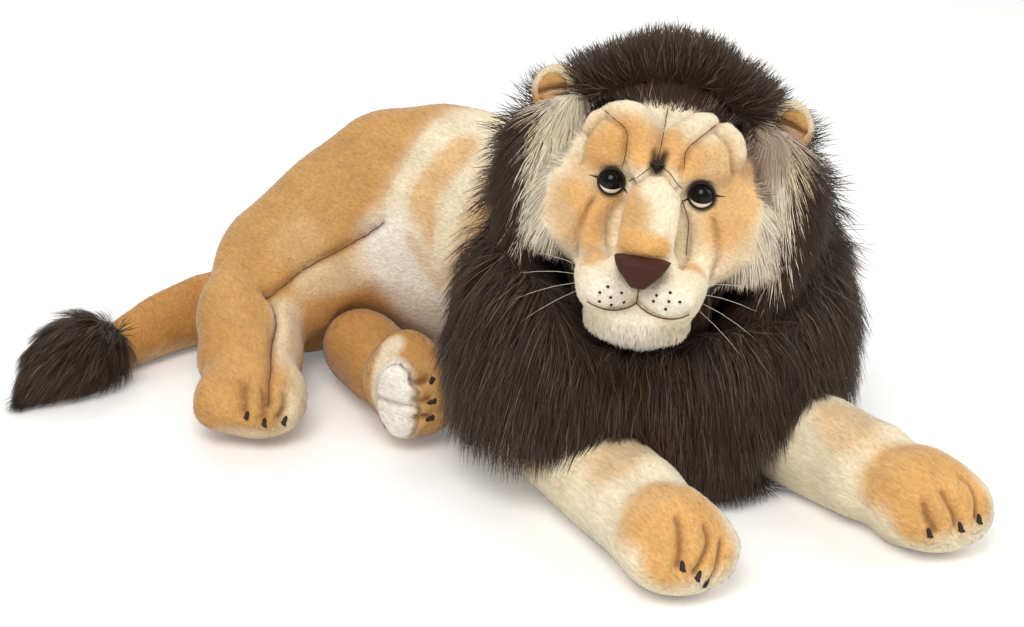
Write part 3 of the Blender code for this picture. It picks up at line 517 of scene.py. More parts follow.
def grow(
    name, piece, count, seed, size, width, comb, colours, rows=(0,), lift=0.3, droop=0.0,
    stray=0.12, lock=0.0, keep=None, pushed_by=None, light=None, light_share=0.0,
    root_shade=0.88, vary=0.08, soft=0.85,
):
    """Strands rooted on a skin and combed along it, pulled into locks, each with its own shade of its
    dye, with painted shade at the root fading to painted light at the tip.
    """
    rng = np.random.default_rng(seed)
    places, faces, normals = places_of(piece), triangles_of(piece), normals_of(piece)
    corners = places[faces]
    sides = np.cross(corners[:, 1] - corners[:, 0], corners[:, 2] - corners[:, 0])
    weights = np.linalg.norm(sides, axis=1)
    if keep is not None:
        weights = weights * keep(corners.mean(1), normals[faces[:, 0]])
    chosen = rng.choice(len(faces), count, p=weights / weights.sum())
    first, second = rng.random((2, count))
    over = first + second > 1
    first[over], second[over] = 1 - first[over], 1 - second[over]
    shares = np.stack((1 - first - second, first, second), axis=1)[:, :, None]
    roots = (places[faces[chosen]] * shares).sum(1)
    out = unit((normals[faces[chosen]] * shares).sum(1))
    flat = comb(roots, out)
    flat = unit(flat - out * (flat * out).sum(1, keepdims=True))
    reach = size(roots) if callable(size) else size
    lift = lift(roots)[:, None] if callable(lift) else lift
    sizes = (reach * rng.uniform(0.72, 1.06, count))[:, None]
    start = unit(flat + out * lift + rng.normal(0, stray, (count, 3)))
    end = unit(flat + out * lift * 0.3 + DOWN * droop + rng.normal(0, stray, (count, 3)))
    roots = roots - out * width * 0.5
    bend = roots + start * sizes * 0.5
    tip = bend + end * sizes * 0.5
    if lock:
        guides = max(20, count // STRANDS_PER_LOCK)
        tree = KDTree(guides)
        for number in range(guides):
            tree.insert(Vector(roots[number]), number)
        tree.balance()
        nearest = np.array([tree.find(Vector(root))[1] for root in roots])
        tip += lock * (tip[nearest] - tip)
        bend += lock * 0.4 * (bend[nearest] - bend)
    low, high = (np.array(corner) for corner in CAD_BOX)
    for ends in (bend, tip):
        if pushed_by is not None:
            push_out(ends, pushed_by)
        ends[:] = np.clip(ends, low - HAIR_ROOM, high + HAIR_ROOM)
        ends[:, 2] = np.maximum(ends[:, 2], FLOOR_GAP + width)
    widths = width * rng.uniform(0.7, 1.15, count)
    strand_piece = strand_mesh(name, roots, bend, tip, out, widths, rows, soft)
    shade = colours(roots) * rng.normal(1, vary, (count, 1)).clip(0.5, 1.6)
    # Some strands are painted lighter at random: lighter fibres, and also painted glints on the hair.
    if light is not None:
        lit = rng.random(count) < light_share
        shade[lit] += (np.array(light) - shade[lit]) * rng.uniform(0.4, 1, (int(lit.sum()), 1))
    # Each strand is painted darker towards its root, as painted shade, and lighter at its tip, as
    # painted light.
    along = np.repeat(list(rows) + [1.0], [3] * len(rows) + [1])
    along = root_shade + (TIP_LIGHT - root_shade) * along
    paint(strand_piece, np.clip((shade[:, None] * along[None, :, None]).reshape(-1, 3), 0, 1))
    return strand_piece


def push_out(ends, tree, clearance=0.001, deepest=0.04):
    """Moves the points that lie inside a padded form out to its surface."""
    for number, end in enumerate(ends):
        spot, normal, _, _ = tree.find_nearest(Vector(end), deepest)
        if spot is not None and (Vector(end) - spot).dot(normal) < clearance:
            ends[number] = spot + normal * clearance


def fur(body, kind, slot, name, piece, *settings, **look):
    """Grows strands on a piece as fibres of one kind, and sets them on the body that carries them."""
    return finish(grow(name, piece, *settings, **look), fibre(kind), body)


# Materials


def added(nodes, kind, **inputs):
    """A new node, with these steady numbers on its inputs."""
    node = nodes.new("ShaderNode" + kind)
    for name, value in inputs.items():
        node.inputs[name.replace("_", " ")].default_value = value
    return node


def shader(name, roughness, **sockets):
    """A material with its own shader, its nodes and links, and steady numbers set on the shader."""
    material = bpy.data.materials.get(name) or bpy.data.materials.new(name)
    material.use_nodes = True
    nodes, links = material.node_tree.nodes, material.node_tree.links
    nodes.clear()
    surface = added(nodes, "BsdfPrincipled", Roughness=roughness, **sockets)
    links.new(surface.outputs["BSDF"], added(nodes, "OutputMaterial").inputs["Surface"])
    return material, nodes, links, surface


def noise(nodes, links, scale, detail=3.0, stretch=(1, 1, 1)):
    """Noise on the piece's own coordinates, stretched along an axis where the finish has a grain."""
    mapping = added(nodes, "Mapping", Scale=stretch)
    texture = added(nodes, "TexNoise", Scale=scale, Detail=detail)
    links.new(added(nodes, "TexCoord").outputs["Object"], mapping.inputs["Vector"])
    links.new(mapping.outputs["Vector"], texture.inputs["Vector"])
    return texture.outputs["Fac"]


def between(nodes, links, source, low, high):
    """The source, spread from low to high."""
    spread = added(nodes, "MapRange", From_Min=0.3, From_Max=0.7, To_Min=low, To_Max=high)
    links.new(source, spread.inputs["Value"])
    return spread.outputs["Result"]


def shaded(nodes, links, colour, amount):
    """The colour, made lighter or darker by the amount."""
    scale = added(nodes, "VectorMath")
    scale.operation = "SCALE"
    links.new(colour, scale.inputs[0])
    links.new(amount, scale.inputs["Scale"])
    return scale.outputs["Vector"]


def bump(nodes, links, surface, height, strength, distance):
    relief = added(nodes, "Bump", Strength=strength, Distance=distance)
    links.new(height, relief.inputs["Height"])
    links.new(relief.outputs["Normal"], surface.inputs["Normal"])


def painted(nodes):
    """The colour that is painted on each point: its dye, with painted shade and light."""
    attribute = added(nodes, "Attribute")
    attribute.attribute_name = "dye"
    return attribute.outputs["Color"]


def pile_cloth(name="plush pile cloth", sheen=0.4):
    """Short dense pile in the colour that is painted on, its dye with painted shade and light, mottled
    where it is brushed.
    """
    material, nodes, links, surface = shader(
        name, 0.92, Sheen_Weight=sheen, Sheen_Roughness=0.35, Specular_IOR_Level=0.12
    )
    brushed = between(nodes, links, noise(nodes, links, 42, 5, (1, 0.35, 1)), 0.87, 1.07)
    fibres = noise(nodes, links, 430, 3, (1, 0.2, 1))
    tone = shaded(nodes, links, painted(nodes), brushed)
    tone = shaded(nodes, links, tone, between(nodes, links, fibres, 0.84, 1.1))
    links.new(tone, surface.inputs["Base Color"])
    bump(nodes, links, surface, fibres, 0.8, 0.0013)
    return material


# Each kind of fibre, with its roughness and its sheen.
FIBRES = {"pile": (0.8, 0.2), "mane": (0.45, 0.1), "ruff": (0.6, 0.2), "hairline": (0.7, 0.0)}


def fibre(kind):
    """Single combed fibres in the colour that is painted on each, its dye with painted shade and light.
    """
    roughness, sheen = FIBRES[kind]
    material, nodes, links, surface = shader(
        kind + " fibres", roughness, Sheen_Weight=sheen, Sheen_Roughness=0.4, Specular_IOR_Level=0.25
    )
    streaks = between(nodes, links, noise(nodes, links, 160), 0.88, 1.1)
    links.new(shaded(nodes, links, painted(nodes), streaks), surface.inputs["Base Color"])
    return material


def dyed_cloth(name, colour, roughness, scale, strength, **sockets):
    """Plain cloth, thread or plastic: one dye, mottled, with a fine relief."""
    material, nodes, links, surface = shader(name, roughness, **sockets)
    solid = added(nodes, "RGB")
    solid.outputs["Color"].default_value = (*colour, 1)
    grain = noise(nodes, links, scale)
    tone = shaded(nodes, links, solid.outputs["Color"], between(nodes, links, grain, 0.82, 1.15))
    links.new(tone, surface.inputs["Base Color"])
    bump(nodes, links, surface, grain, strength, 0.0004)
    return material


def claw_stitching(dyes):
    return dyed_cloth("claw stitching", tuple(dyes.dark), 0.7, 1200, 0.8)


def thread_material(dyes):
    return dyed_cloth("sewing thread", tuple(dyes.seam), 0.8, 900, 0.5)


def eye_plastic(name, pupil, reach, black, white):
    """A glossy dome, black round the pupil's centre and white beyond it, with a brown edge between."""
    material, nodes, links, surface = shader(name, 0.06, Specular_IOR_Level=0.24)
    away = added(nodes, "VectorMath")
    away.operation = "DISTANCE"
    away.inputs[1].default_value = tuple(pupil)
    links.new(added(nodes, "TexCoord").outputs["Object"], away.inputs[0])
    share = added(nodes, "MapRange", From_Min=reach * 0.9, From_Max=reach * 1.1)
    links.new(away.outputs["Value"], share.inputs["Value"])
    ramp = added(nodes, "ValToRGB")
    ends = ramp.color_ramp.elements
    ends[0].color = (*black, 1)
    ends[0].position = 0.42
    ends[1].color = (*white, 1)
    ends[1].position = 0.58
    ends.new(0.5).color = (0.09, 0.045, 0.02, 1)
    links.new(share.outputs["Result"], ramp.inputs["Fac"])
    links.new(ramp.outputs["Color"], surface.inputs["Base Color"])
    return material


# Small parts


def bead(name, centre, radii, axes, segments=12, rings=8):
    """A smooth bead of these three radii along these three axes."""
    deselect()
    bpy.ops.mesh.primitive_uv_sphere_add(segments=segments, ring_count=rings, radius=1)
    piece = bpy.context.object
    piece.name = piece.data.name = name
    turn = Matrix([list(axis) for axis in axes]).transposed().to_4x4()
    piece.matrix_world = Matrix.Translation(Vector(centre)) @ turn @ Matrix.Diagonal((*radii, 1))
    bpy.ops.object.transform_apply(location=True, rotation=True, scale=True)
    bpy.ops.object.mode_set(mode="EDIT")
    bpy.ops.mesh.select_all(action="SELECT")
    bpy.ops.mesh.normals_make_consistent(inside=False)
    bpy.ops.object.mode_set(mode="OBJECT")
    bpy.ops.object.shade_smooth()
    return piece


def joined(name, pieces):
    deselect()
    for piece in pieces:
        piece.select_set(True)
    bpy.context.view_layer.objects.active = pieces[0]
    bpy.ops.object.join()
    whole = bpy.context.view_layer.objects.active
    whole.name = whole.data.name = name
    return whole


def eased_path(path, steps=8):
    """The path with smooth bends between its places."""
    path = [Vector(place) for place in path]
    if len(path) < 3:
        return [path[0].lerp(path[-1], step / steps) for step in range(steps + 1)]
    ends = [2 * path[0] - path[1], *path, 2 * path[-1] - path[-2]]
    course = []
    for before, start, end, after in zip(ends, ends[1:], ends[2:], ends[3:]):
        for step in range(steps):
            share = step / steps
            straight = 2 * start + (end - before) * share
            bend = (2 * before - 5 * start + 4 * end - after) * share**2
            turn = (3 * start - before - 3 * end + after) * share**3
            course.append(0.5 * (straight + bend + turn))
    return course + [path[-1]]


def laid(path, tree, way=None):
    """The path's smooth course on a skin: nearest to it, or straight ahead along a way, with normals."""
    course = []
    for place in eased_path(path):
        if way is None:
            spot, normal, _, _ = tree.find_nearest(place)
        else:
            spot, normal, _, _ = tree.ray_cast(place - Vector(way) * 0.3, Vector(way))
        course.append((spot, normal))
    return course


def spots_of(course):
    return [spot for spot, _ in course]


def sew(piece, paths, steps, way=None):
    """Lays paths on a skin and draws it in along them by steps of a width and a depth, and tells
    where each path lies in its groove in the end."""
    tree = tree_of(piece)
    courses = [laid(path, tree, way) for path in paths]
    for width, depth in steps:
        crease(piece, [spots_of(course) for course in courses], width, depth)
        tree = tree_of(piece)
        for number, course in enumerate(courses):
            found = [tree.ray_cast(spot + normal * 0.02, -normal)[:2] for spot, normal in course]
            courses[number] = [new if new[0] else old for new, old in zip(found, course)]
    return courses


def grooves(piece, paths, steps):
    """Sews paths on a skin and gives the places of each."""
    return [spots_of(course) for course in sew(piece, paths, steps)]


def thread(name, course, radius, proud=0.4, tapered=False):
    """A sewn line along a course laid on a skin."""
    curve = bpy.data.curves.new(name, "CURVE")
    curve.dimensions = "3D"
    curve.bevel_depth = radius
    curve.bevel_resolution = 1
    curve.use_fill_caps = True
    spline = curve.splines.new("POLY")
    spline.points.add(len(course) - 1)
    for number, (spot, normal) in enumerate(course):
        spline.points[number].co = (*(spot + normal * radius * proud), 1)
        share = number / (len(course) - 1)
        spline.points[number].radius = max(0.15, 1 - share) if tapered else 1
    pick(linked(name, curve))
    bpy.ops.object.convert(target="MESH")
    return bpy.context.object


def surface_axes(tree, place, along):
    """The spot on a skin nearest a place, and axes there: along a way, across it and outward."""
    spot, normal, _, _ = tree.find_nearest(Vector(place))
    along = Vector(along)
    along = (along - normal * along.dot(normal)).normalized()
    return spot, (along, normal.cross(along), normal)


# The body


BODY_NODES = (
    "torso_stuffing", "back_cover", "belly_panel", "thigh_right", "thigh_left",
    "hindleg_right", "hindpaw_right", "hindpaw_sole_right",
)
# Where the near hind leg's shin begins, just below the hip's hinge, and the way along it; past there the
# pile lies down the shin.
HIP = (-0.224, 0.11, 0.05)
SHIN_WAY = (-0.9, -0.43, 0.0)
HIP_BLEND = (0.02, 0.07)
BELLY_SPINE = ((-0.02, 0.09, 0.0), (-0.02, -0.12, 0.0))
FLANK = ((-0.03, 0.0, 0.257), (-0.105, -0.005, 0.15))
FAR_FLANK = ((0.0, 0.0, 0.255), (0.1, -0.05, 0.15))
WHITE_FLANK = ((-0.117, 0.022, 0.14), (-0.1, -0.005, 0.09), (-0.095, -0.06, 0.06))
FAR_WHITE_FLANK = ((0.09, 0.03, 0.09), (0.09, -0.06, 0.08))
# Sprays of dye, with a painted highlight and a painted shade among them: a path, its radius, its dye and
# how strong it is.
BODY_SPRAYS = (
    (BELLY_SPINE, 0.11, "white", 1.0),
    (FLANK, 0.075, "cream", 0.85),
    (FAR_FLANK, 0.08, "cream", 0.85),
    (((-0.055, 0.035, 0.252), (-0.105, 0.026, 0.191)), 0.02, "cream", 0.9),
    (((-0.052, -0.005, 0.245), (-0.088, 0.004, 0.2), (-0.099, -0.012, 0.16)), 0.025, "orange", 0.7),
    (((-0.064, -0.032, 0.221), (-0.093, -0.033, 0.155)), 0.016, "cream", 0.9),
    (WHITE_FLANK, 0.058, "white", 1.0),
    (FAR_WHITE_FLANK, 0.06, "white", 1.0),
    # A thin orange line along a fold of the flank's cloth: painted shade in the fold.
    (((-0.106, 0.004, 0.158), (-0.095, -0.03, 0.12)), 0.01, "orange", 0.4),
    # A painted highlight: a faint, wide cream spray on the top of the haunch, where the light falls.
    (((-0.185, 0.088, 0.145),), 0.04, "cream", 0.15),
    (((-0.185, 0.066, 0.108), (-0.14, 0.058, 0.112)), 0.026, "cream", 0.45),
    (((-0.29, 0.08, 0.05), (-0.31, -0.02, 0.05)), 0.06, "tawny", 0.8),
    (((-0.306, -0.02, 0.073), (-0.31, -0.05, 0.06)), 0.05, "orange", 0.5),
    (((-0.215, 0.05, 0.085), (-0.24, -0.01, 0.06), (-0.262, -0.075, 0.035)), 0.032, "cream", 0.7),
    (((-0.335, -0.05, 0.006), (-0.3, -0.085, 0.008), (-0.27, -0.08, 0.012)), 0.028, "cream", 0.85),
)
SHIN_SEAM = (
    (-0.2243, 0.0718, 0.1068),
    (-0.2265, 0.0429, 0.0937),
    (-0.2575, -0.0041, 0.0794),
    (-0.2844, -0.0523, 0.0712),
    (-0.296, -0.0739, 0.0562),
)
HIP_SEAM = (
    (-0.2243, 0.0718, 0.1068),
    (-0.1828, 0.0711, 0.1235),
    (-0.1469, 0.0653, 0.1378),
    (-0.1205, 0.0398, 0.1659),
)
# Filling: a path, its radius and how far the cloth is pressed out or drawn in along it.
BODY_FILLING = (
    (((-0.1397, 0.1405, 0.197), (-0.1139, 0.1268, 0.2268)), 0.075, 0.021),
    (((-0.1, 0.185, 0.202), (-0.11, 0.183, 0.2)), 0.045, 0.013),
    (((-0.2067, 0.1932, 0.1252), (-0.2402, 0.1575, 0.0939), (-0.2771, 0.1083, 0.0696)), 0.05, 0.01),
    (((-0.0695, 0.092, 0.2521), (-0.0413, 0.06, 0.2622)), 0.1, 0.006),
    (((-0.1558, 0.1461, 0.1882), (-0.1925, 0.1596, 0.1618), (-0.2345, 0.1365, 0.1156)), 0.06, 0.008),
    (((-0.268, 0.0949, 0.0949), (-0.3073, 0.0409, 0.0566), (-0.3352, -0.02, 0.05)), 0.05, 0.014),
    (((-0.2932, 0.0688, 0.0374), (-0.318, 0.02, 0.03), (-0.334, -0.012, 0.025)), 0.032, 0.01),
    (((-0.2477, -0.03, 0.05),), 0.03, 0.004),
    (((-0.178, 0.075, 0.02),), 0.04, -0.014),
    (((-0.34, -0.055, 0.012), (-0.315, -0.085, 0.008)), 0.03, -0.01),
)
# Valleys that the cloth spans: a path, its radius and the rounds of smoothing.
BODY_VALLEYS = (
    (((-0.155, 0.165, 0.183), (-0.125, 0.155, 0.205), (-0.1, 0.165, 0.212)), 0.08, 240),
    (((-0.3, 0.0, 0.05), (-0.27, -0.02, 0.03)), 0.085, 80),
)


def hip_share(points):
    """How far each point belongs to the near hind leg, from 0 on the body to 1 on the shin."""
    along = (points - np.array(HIP)) @ np.array(SHIN_WAY)
    return eased((along - HIP_BLEND[0]) / (HIP_BLEND[1] - HIP_BLEND[0]))


def body_comb(roots, out):
    """Pile lies back towards the tail and down the sides, and along the shin to the paw."""
    leg = hip_share(roots)[:, None]
    return np.array((-0.25, 0.8, -0.5)) * (1 - leg) + np.array((-0.3, -1.0, -0.35)) * leg


def blend_hip(piece):
    """Bakes the piece's transform into its mesh."""
    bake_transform(piece)


class LionOperator:
    """Builds pieces from the scene's sizes and dyes."""

    def execute(self, context):
        self.build(context.scene.lion_sizes, context.scene.lion_dyes)
        return {"FINISHED"}


class LIONPLUSH_OT_body(LionOperator, bpy.types.Operator):
    """Dress the body, the haunches and the near hind leg in one padded coat with a white belly"""

    bl_idname = "lionplush.body"
    bl_label = "Body Coat"

    def build(self, sizes, dyes):
        coat = skin("body_coat", BODY_NODES, *BODY_SKIN)
        stuff(coat, sizes.puff, BODY_FILLING, BODY_VALLEYS)
        courses = sew(coat, (HIP_SEAM, SHIN_SEAM, *HIND_TOES), BODY_SEWING)
        creases = [spots_of(course) for course in courses]

        def colours(points):
            tones = sprayed(points, "golden", BODY_SPRAYS, dyes)
            return creased(tones, points, creases, dyes, 0.6, 0.003)

        finish_skin(coat, None, BODY_NODES, colours, pile_cloth())
        blend_hip(coat)
        sewn = [thread("seam", course, sizes.thread_radius, 0.3) for course in courses[:2]]
        blend_hip(finish(joined("coat_seams", sewn), thread_material(dyes)))
        blend_hip(fur(
            None, "pile", "golden_plush", "body_pile", coat, sizes.coat_strands, 11, sizes.coat_pile,
            sizes.pile_width, body_comb, colours, keep=lambda points, out: out[:, 2] > -0.6,
        ))
        claw_marks("hindleg_right", HIND_TOES, tree_of(coat), dyes)


def creased(tones, points, paths, dyes, strength, width):
    """The tones, with the shade of a sewn crease along these paths."""
    for path in paths:
        shade = strength * np.exp(-((distance_to(points, path) / width) ** 2))
        tones += shade[:, None] * (np.array(dyes.seam) - tones)
    return tones


def claw_marks(leg, toes, tree, dyes):
    """A dark stitched mark at the end of each toe's crease: a long bead with a shorter one across."""
    marks = []
    for toe in toes:
        spot, axes = surface_axes(tree, toe[-1], np.subtract(toe[-1], toe[-2]))
        marks.append(bead("mark", spot + axes[2] * 0.001, (0.005, 0.0022, 0.002), axes))
        across = (axes[0] * 0.5 + axes[1], axes[1] * 0.5 - axes[0], axes[2])
        across = [axis.normalized() for axis in across]
        place = spot + axes[0] * 0.003 + axes[2] * 0.001
        marks.append(bead("mark", place, (0.0034, 0.0015, 0.0016), across))
    finish(joined(leg + "_claws", marks), claw_stitching(dyes), leg)


# Legs and tail


HIND_TOES = (
    ((-0.308, -0.045, 0.069), (-0.315, -0.059, 0.0575), (-0.321, -0.0674, 0.0471)),
    ((-0.293, -0.059, 0.064), (-0.299, -0.071, 0.051), (-0.3047, -0.0796, 0.0389)),
    ((-0.2735, -0.069, 0.058), (-0.279, -0.079, 0.046), (-0.2857, -0.0832, 0.0372)),
)
LIMBS = {
    "foreleg_right": dict(
        nodes=("foreleg_right", "forepaw_right", "forepaw_sole_right"),
        base="cream",
        sprays=(
            (((-0.15, -0.3, 0.05), (-0.135, -0.32, 0.07), (-0.1, -0.33, 0.08)), 0.022, "orange", 0.4),
            (((-0.15, -0.36, 0.05), (-0.13, -0.37, 0.075)), 0.016, "orange", 0.2),
            (((-0.125, -0.4, 0.078), (-0.1, -0.385, 0.083)), 0.036, "orange", 0.55),
            (((-0.145, -0.48, 0.062), (-0.12, -0.47, 0.08), (-0.1, -0.485, 0.075)),
             0.036, "orange", 0.9),
            (((-0.14, -0.502, 0.06), (-0.11, -0.506, 0.068)), 0.034, "orange", 1.0),
            (((-0.148, -0.522, 0.045), (-0.13, -0.527, 0.053), (-0.108, -0.527, 0.053)),
             0.033, "orange", 1.0),
        ),
        comb=(-0.1, -1.0, -0.15),
        filling=(
            (((-0.1, -0.415, 0.075), (-0.07, -0.43, 0.045)), 0.035, 0.006),
            (((-0.155, -0.43, 0.03), (-0.135, -0.42, 0.06)), 0.035, 0.007),
        ),
        valleys=((((-0.14, -0.43, 0.04), (-0.08, -0.43, 0.04)), 0.06, 60),),
        toes=(
            ((-0.126, -0.499, 0.0755), (-0.1318, -0.5139, 0.0685), (-0.1447, -0.5318, 0.0456)),
            ((-0.106, -0.515, 0.067), (-0.1104, -0.5286, 0.0595), (-0.1309, -0.5395, 0.037)),
            ((-0.095, -0.526, 0.0555), (-0.1013, -0.5361, 0.0501), (-0.1145, -0.538, 0.0218)),
        ),
    ),
    "foreleg_left": dict(
        nodes=("foreleg_left", "forepaw_left", "forepaw_sole_left"),
        base="cream",
        sprays=(
            (((0.09, -0.45, 0.081), (0.1, -0.42, 0.083)), 0.036, "orange", 0.55),
            (((0.08, -0.51, 0.06), (0.1, -0.505, 0.075), (0.125, -0.52, 0.075)), 0.036, "orange", 0.9),
            (((0.085, -0.536, 0.06), (0.125, -0.54, 0.07)), 0.036, "orange", 1.0),
            (((0.078, -0.558, 0.045), (0.1, -0.568, 0.055), (0.13, -0.566, 0.055)),
             0.034, "orange", 1.0),
        ),
        comb=(0.1, -1.0, -0.15),
        filling=(
            (((0.07, -0.47, 0.03), (0.08, -0.465, 0.07)), 0.035, 0.007),
            (((0.12, -0.46, 0.07), (0.14, -0.46, 0.04)), 0.035, 0.006),
        ),
        valleys=((((0.08, -0.465, 0.04), (0.13, -0.465, 0.04)), 0.06, 60),),
        toes=(
            ((0.085, -0.557, 0.059), (0.0825, -0.5679, 0.0494), (0.0841, -0.5748, 0.0372)),
            ((0.105, -0.56, 0.067), (0.1052, -0.5736, 0.0566), (0.1053, -0.5823, 0.0429)),
            ((0.133, -0.55, 0.0705), (0.1389, -0.5608, 0.0641), (0.1296, -0.5817, 0.0457)),
        ),
    ),
    "hindleg_left": dict(
        nodes=("hindleg_left", "hindpaw_left", "hindpaw_sole_left"),
        base="tawny",
        sprays=(
            (((-0.1787, -0.091, 0.0937), (-0.198, -0.105, 0.05), (-0.19, -0.12, 0.012)),
             0.02, "cream", 0.9),
            (((-0.16, -0.15, 0.08), (-0.16, -0.155, 0.03)), 0.03, "orange", 0.9),
        ),
        comb=(-0.2, -1.0, -0.2),
        filling=((((-0.16, -0.085, 0.085), (-0.19, -0.075, 0.05)), 0.03, 0.005),),
        valleys=((((-0.17, -0.085, 0.05),), 0.06, 20),),
        toes=(
            ((-0.182, -0.15, 0.08), (-0.172, -0.15, 0.078), (-0.1655, -0.1457, 0.078)),
            ((-0.186, -0.153, 0.06), (-0.176, -0.155, 0.059), (-0.1694, -0.1545, 0.059)),
            ((-0.184, -0.152, 0.04), (-0.176, -0.154, 0.0394), (-0.17, -0.1531, 0.0394)),
        ),
    ),
}
SHOWN_SOLE = "hindpaw_sole_left"


def even_comb(way):
    return lambda roots, out: np.tile(way, (len(roots), 1))


class LIONPLUSH_OT_legs(LionOperator, bpy.types.Operator):
    """Dress the forelegs and the far hind leg with their paws, stitched toes, claw marks and soles"""

    bl_idname = "lionplush.legs"
    bl_label = "Legs and Paws"

    def build(self, sizes, dyes):
        for seed, (name, limb) in enumerate(LIMBS.items(), 30):
            self.dress(name, limb, seed, sizes, dyes)

    def dress(self, name, limb, seed, sizes, dyes):
        sole = sole_oval(SHOWN_SOLE) if SHOWN_SOLE in limb["nodes"] else None
        coat = skin(name + "_coat", limb["nodes"], *LIMB_SKIN)
        stuff(coat, sizes.puff * 0.7, limb["filling"], limb["valleys"])
        toes = grooves(coat, limb["toes"], TOE_SEWING)
        rims = grooves(coat, sole["seams"], SOLE_SEWING) if sole else []

        def colours(points):
            tones = sprayed(points, limb["base"], limb["sprays"], dyes)
            if sole:
                pale = sole["inside"](points) * (1 - eased((points[:, 0] + 0.19) / 0.016))
                tones += pale[:, None] * (np.array(dyes.white) - tones)
                creased(tones, points, rims, dyes, 0.5, 0.0018)
            return creased(tones, points, toes, dyes, 0.7, 0.0028)

        finish_skin(coat, name, limb["nodes"], colours, pile_cloth())
        tree = tree_of(coat)

        def pile_keep(points, out):
            keep = (out[:, 2] > -0.7)
            return keep * (1 - 0.5 * sole["inside"](points)) if sole else keep

        fur(
            name, "pile", "cream_plush", name + "_pile", coat, sizes.limb_strands, seed,
            sizes.coat_pile, sizes.pile_width, even_comb(limb["comb"]), colours, keep=pile_keep,
        )
        claw_marks(name, limb["toes"], tree, dyes)


def sole_oval(node):
    """The seams of a sole's oval pad, round it and across it, and a test of what lies in it."""
    places = places_of(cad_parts[node])
    centre = (places.max(0) + places.min(0)) / 2
    _, _, axes = np.linalg.svd(places - places.mean(0), full_matrices=False)
    across = (places - centre) @ axes.T
    centre = centre + ((across.max(0) + across.min(0)) / 2) @ axes
    reach = (across.max(0) - across.min(0)) / 2

    def spot(turn, share):
        wide, tall = math.cos(turn) * reach[0] * share, math.sin(turn) * reach[1] * share
        return centre + axes[0] * wide + axes[1] * tall

    def inside(points):
        local = (points - centre) @ axes.T
        round_share = np.hypot(local[:, 0] / reach[0], local[:, 1] / reach[1])
        return eased((0.97 - round_share) / 0.06) * (np.abs(local[:, 2]) < reach[2] + 0.012)

    rim = [spot(math.radians(turn), 0.95) for turn in range(0, 361, 15)]
    across_seam = [spot(math.pi / 2, 0.9), spot(-math.pi / 2, 0.9)]
    return {"seams": (rim, across_seam), "inside": inside}


class LIONPLUSH_OT_tail(LionOperator, bpy.types.Operator):
    """Dress the tail and its dark tuft"""

    bl_idname = "lionplush.tail"
    bl_label = "Tail and Tuft"

    def build(self, sizes, dyes):
        coat = skin("tail_coat", ("tail",), *TAIL_SKIN)
        stuff(coat, sizes.puff * 0.6)
        sprays = ((((-0.15, 0.23, 0.0), (-0.36, 0.17, 0.0)), 0.03, "cream", 0.4),)

        def colours(points):
            return sprayed(points, "tawny", sprays, dyes)

        def dark(points):
            return mane_tones(points, dyes)

        finish_skin(coat, "tail", ("tail",), colours, pile_cloth())
        fur(
            "tail", "pile", "golden_plush", "tail_pile", coat, sizes.tail_strands, 51,
            sizes.coat_pile, sizes.pile_width, even_comb((-1.0, -0.3, -0.2)), colours, lift=0.35,
        )
        tuft = backing(
            "tuft_backing", "tail", ("tail_tuft",), RUFF_SKIN, dark, mane_backing()
        )
        start = np.array((-0.345, 0.18, 0.045))
        fur(
            "tail", "mane", "mane_pile", "tuft_hair", tuft, sizes.tuft_strands, 52, sizes.tuft_hair,
            sizes.hair_width * 0.8, lambda roots, out: unit(roots - start) + DOWN * 0.35, dark,
            lift=0.3, droop=0.35, stray=0.16, lock=0.5, **dark_look(dyes),
        )


# The mane


def mane_tones(points, dyes, share=1.0):
    return np.tile(np.array(dyes.mane_dark) * share, (len(points), 1))


def mane_backing():
    return pile_cloth("mane backing", 0.0)


def dark_look(dyes, light_share=0.15, root_shade=0.7, vary=0.2):
    """What all long dark hair has in common, with its single lighter strands."""
    return dict(
        rows=LONG_ROWS, soft=0.45, light=dyes.mane_light, light_share=light_share,
        root_shade=root_shade, vary=vary,
    )


def chest_comb(roots, out):
    """Hair falls straight down the chest and sweeps outward and back over the shoulders."""
    away = roots - HEAD_CENTRE
    away[:, 2] = 0
    high = eased((roots[:, 2:3] - 0.08) / 0.2)
    return DOWN + unit(away) * (0.2 + 0.5 * high)


def crown_comb(roots, out):
    """Hair springs away from the face, back over the head and down its sides."""
    local = in_head(roots)
    away = unit(local * (1, 0, 1)) * 0.7 + np.array((0, 1.0, 0))
    side = np.clip(1 - local[:, 2:3] / 0.11, 0, 1.4)
    return away @ HEAD_AXES + DOWN * 0.75 * side


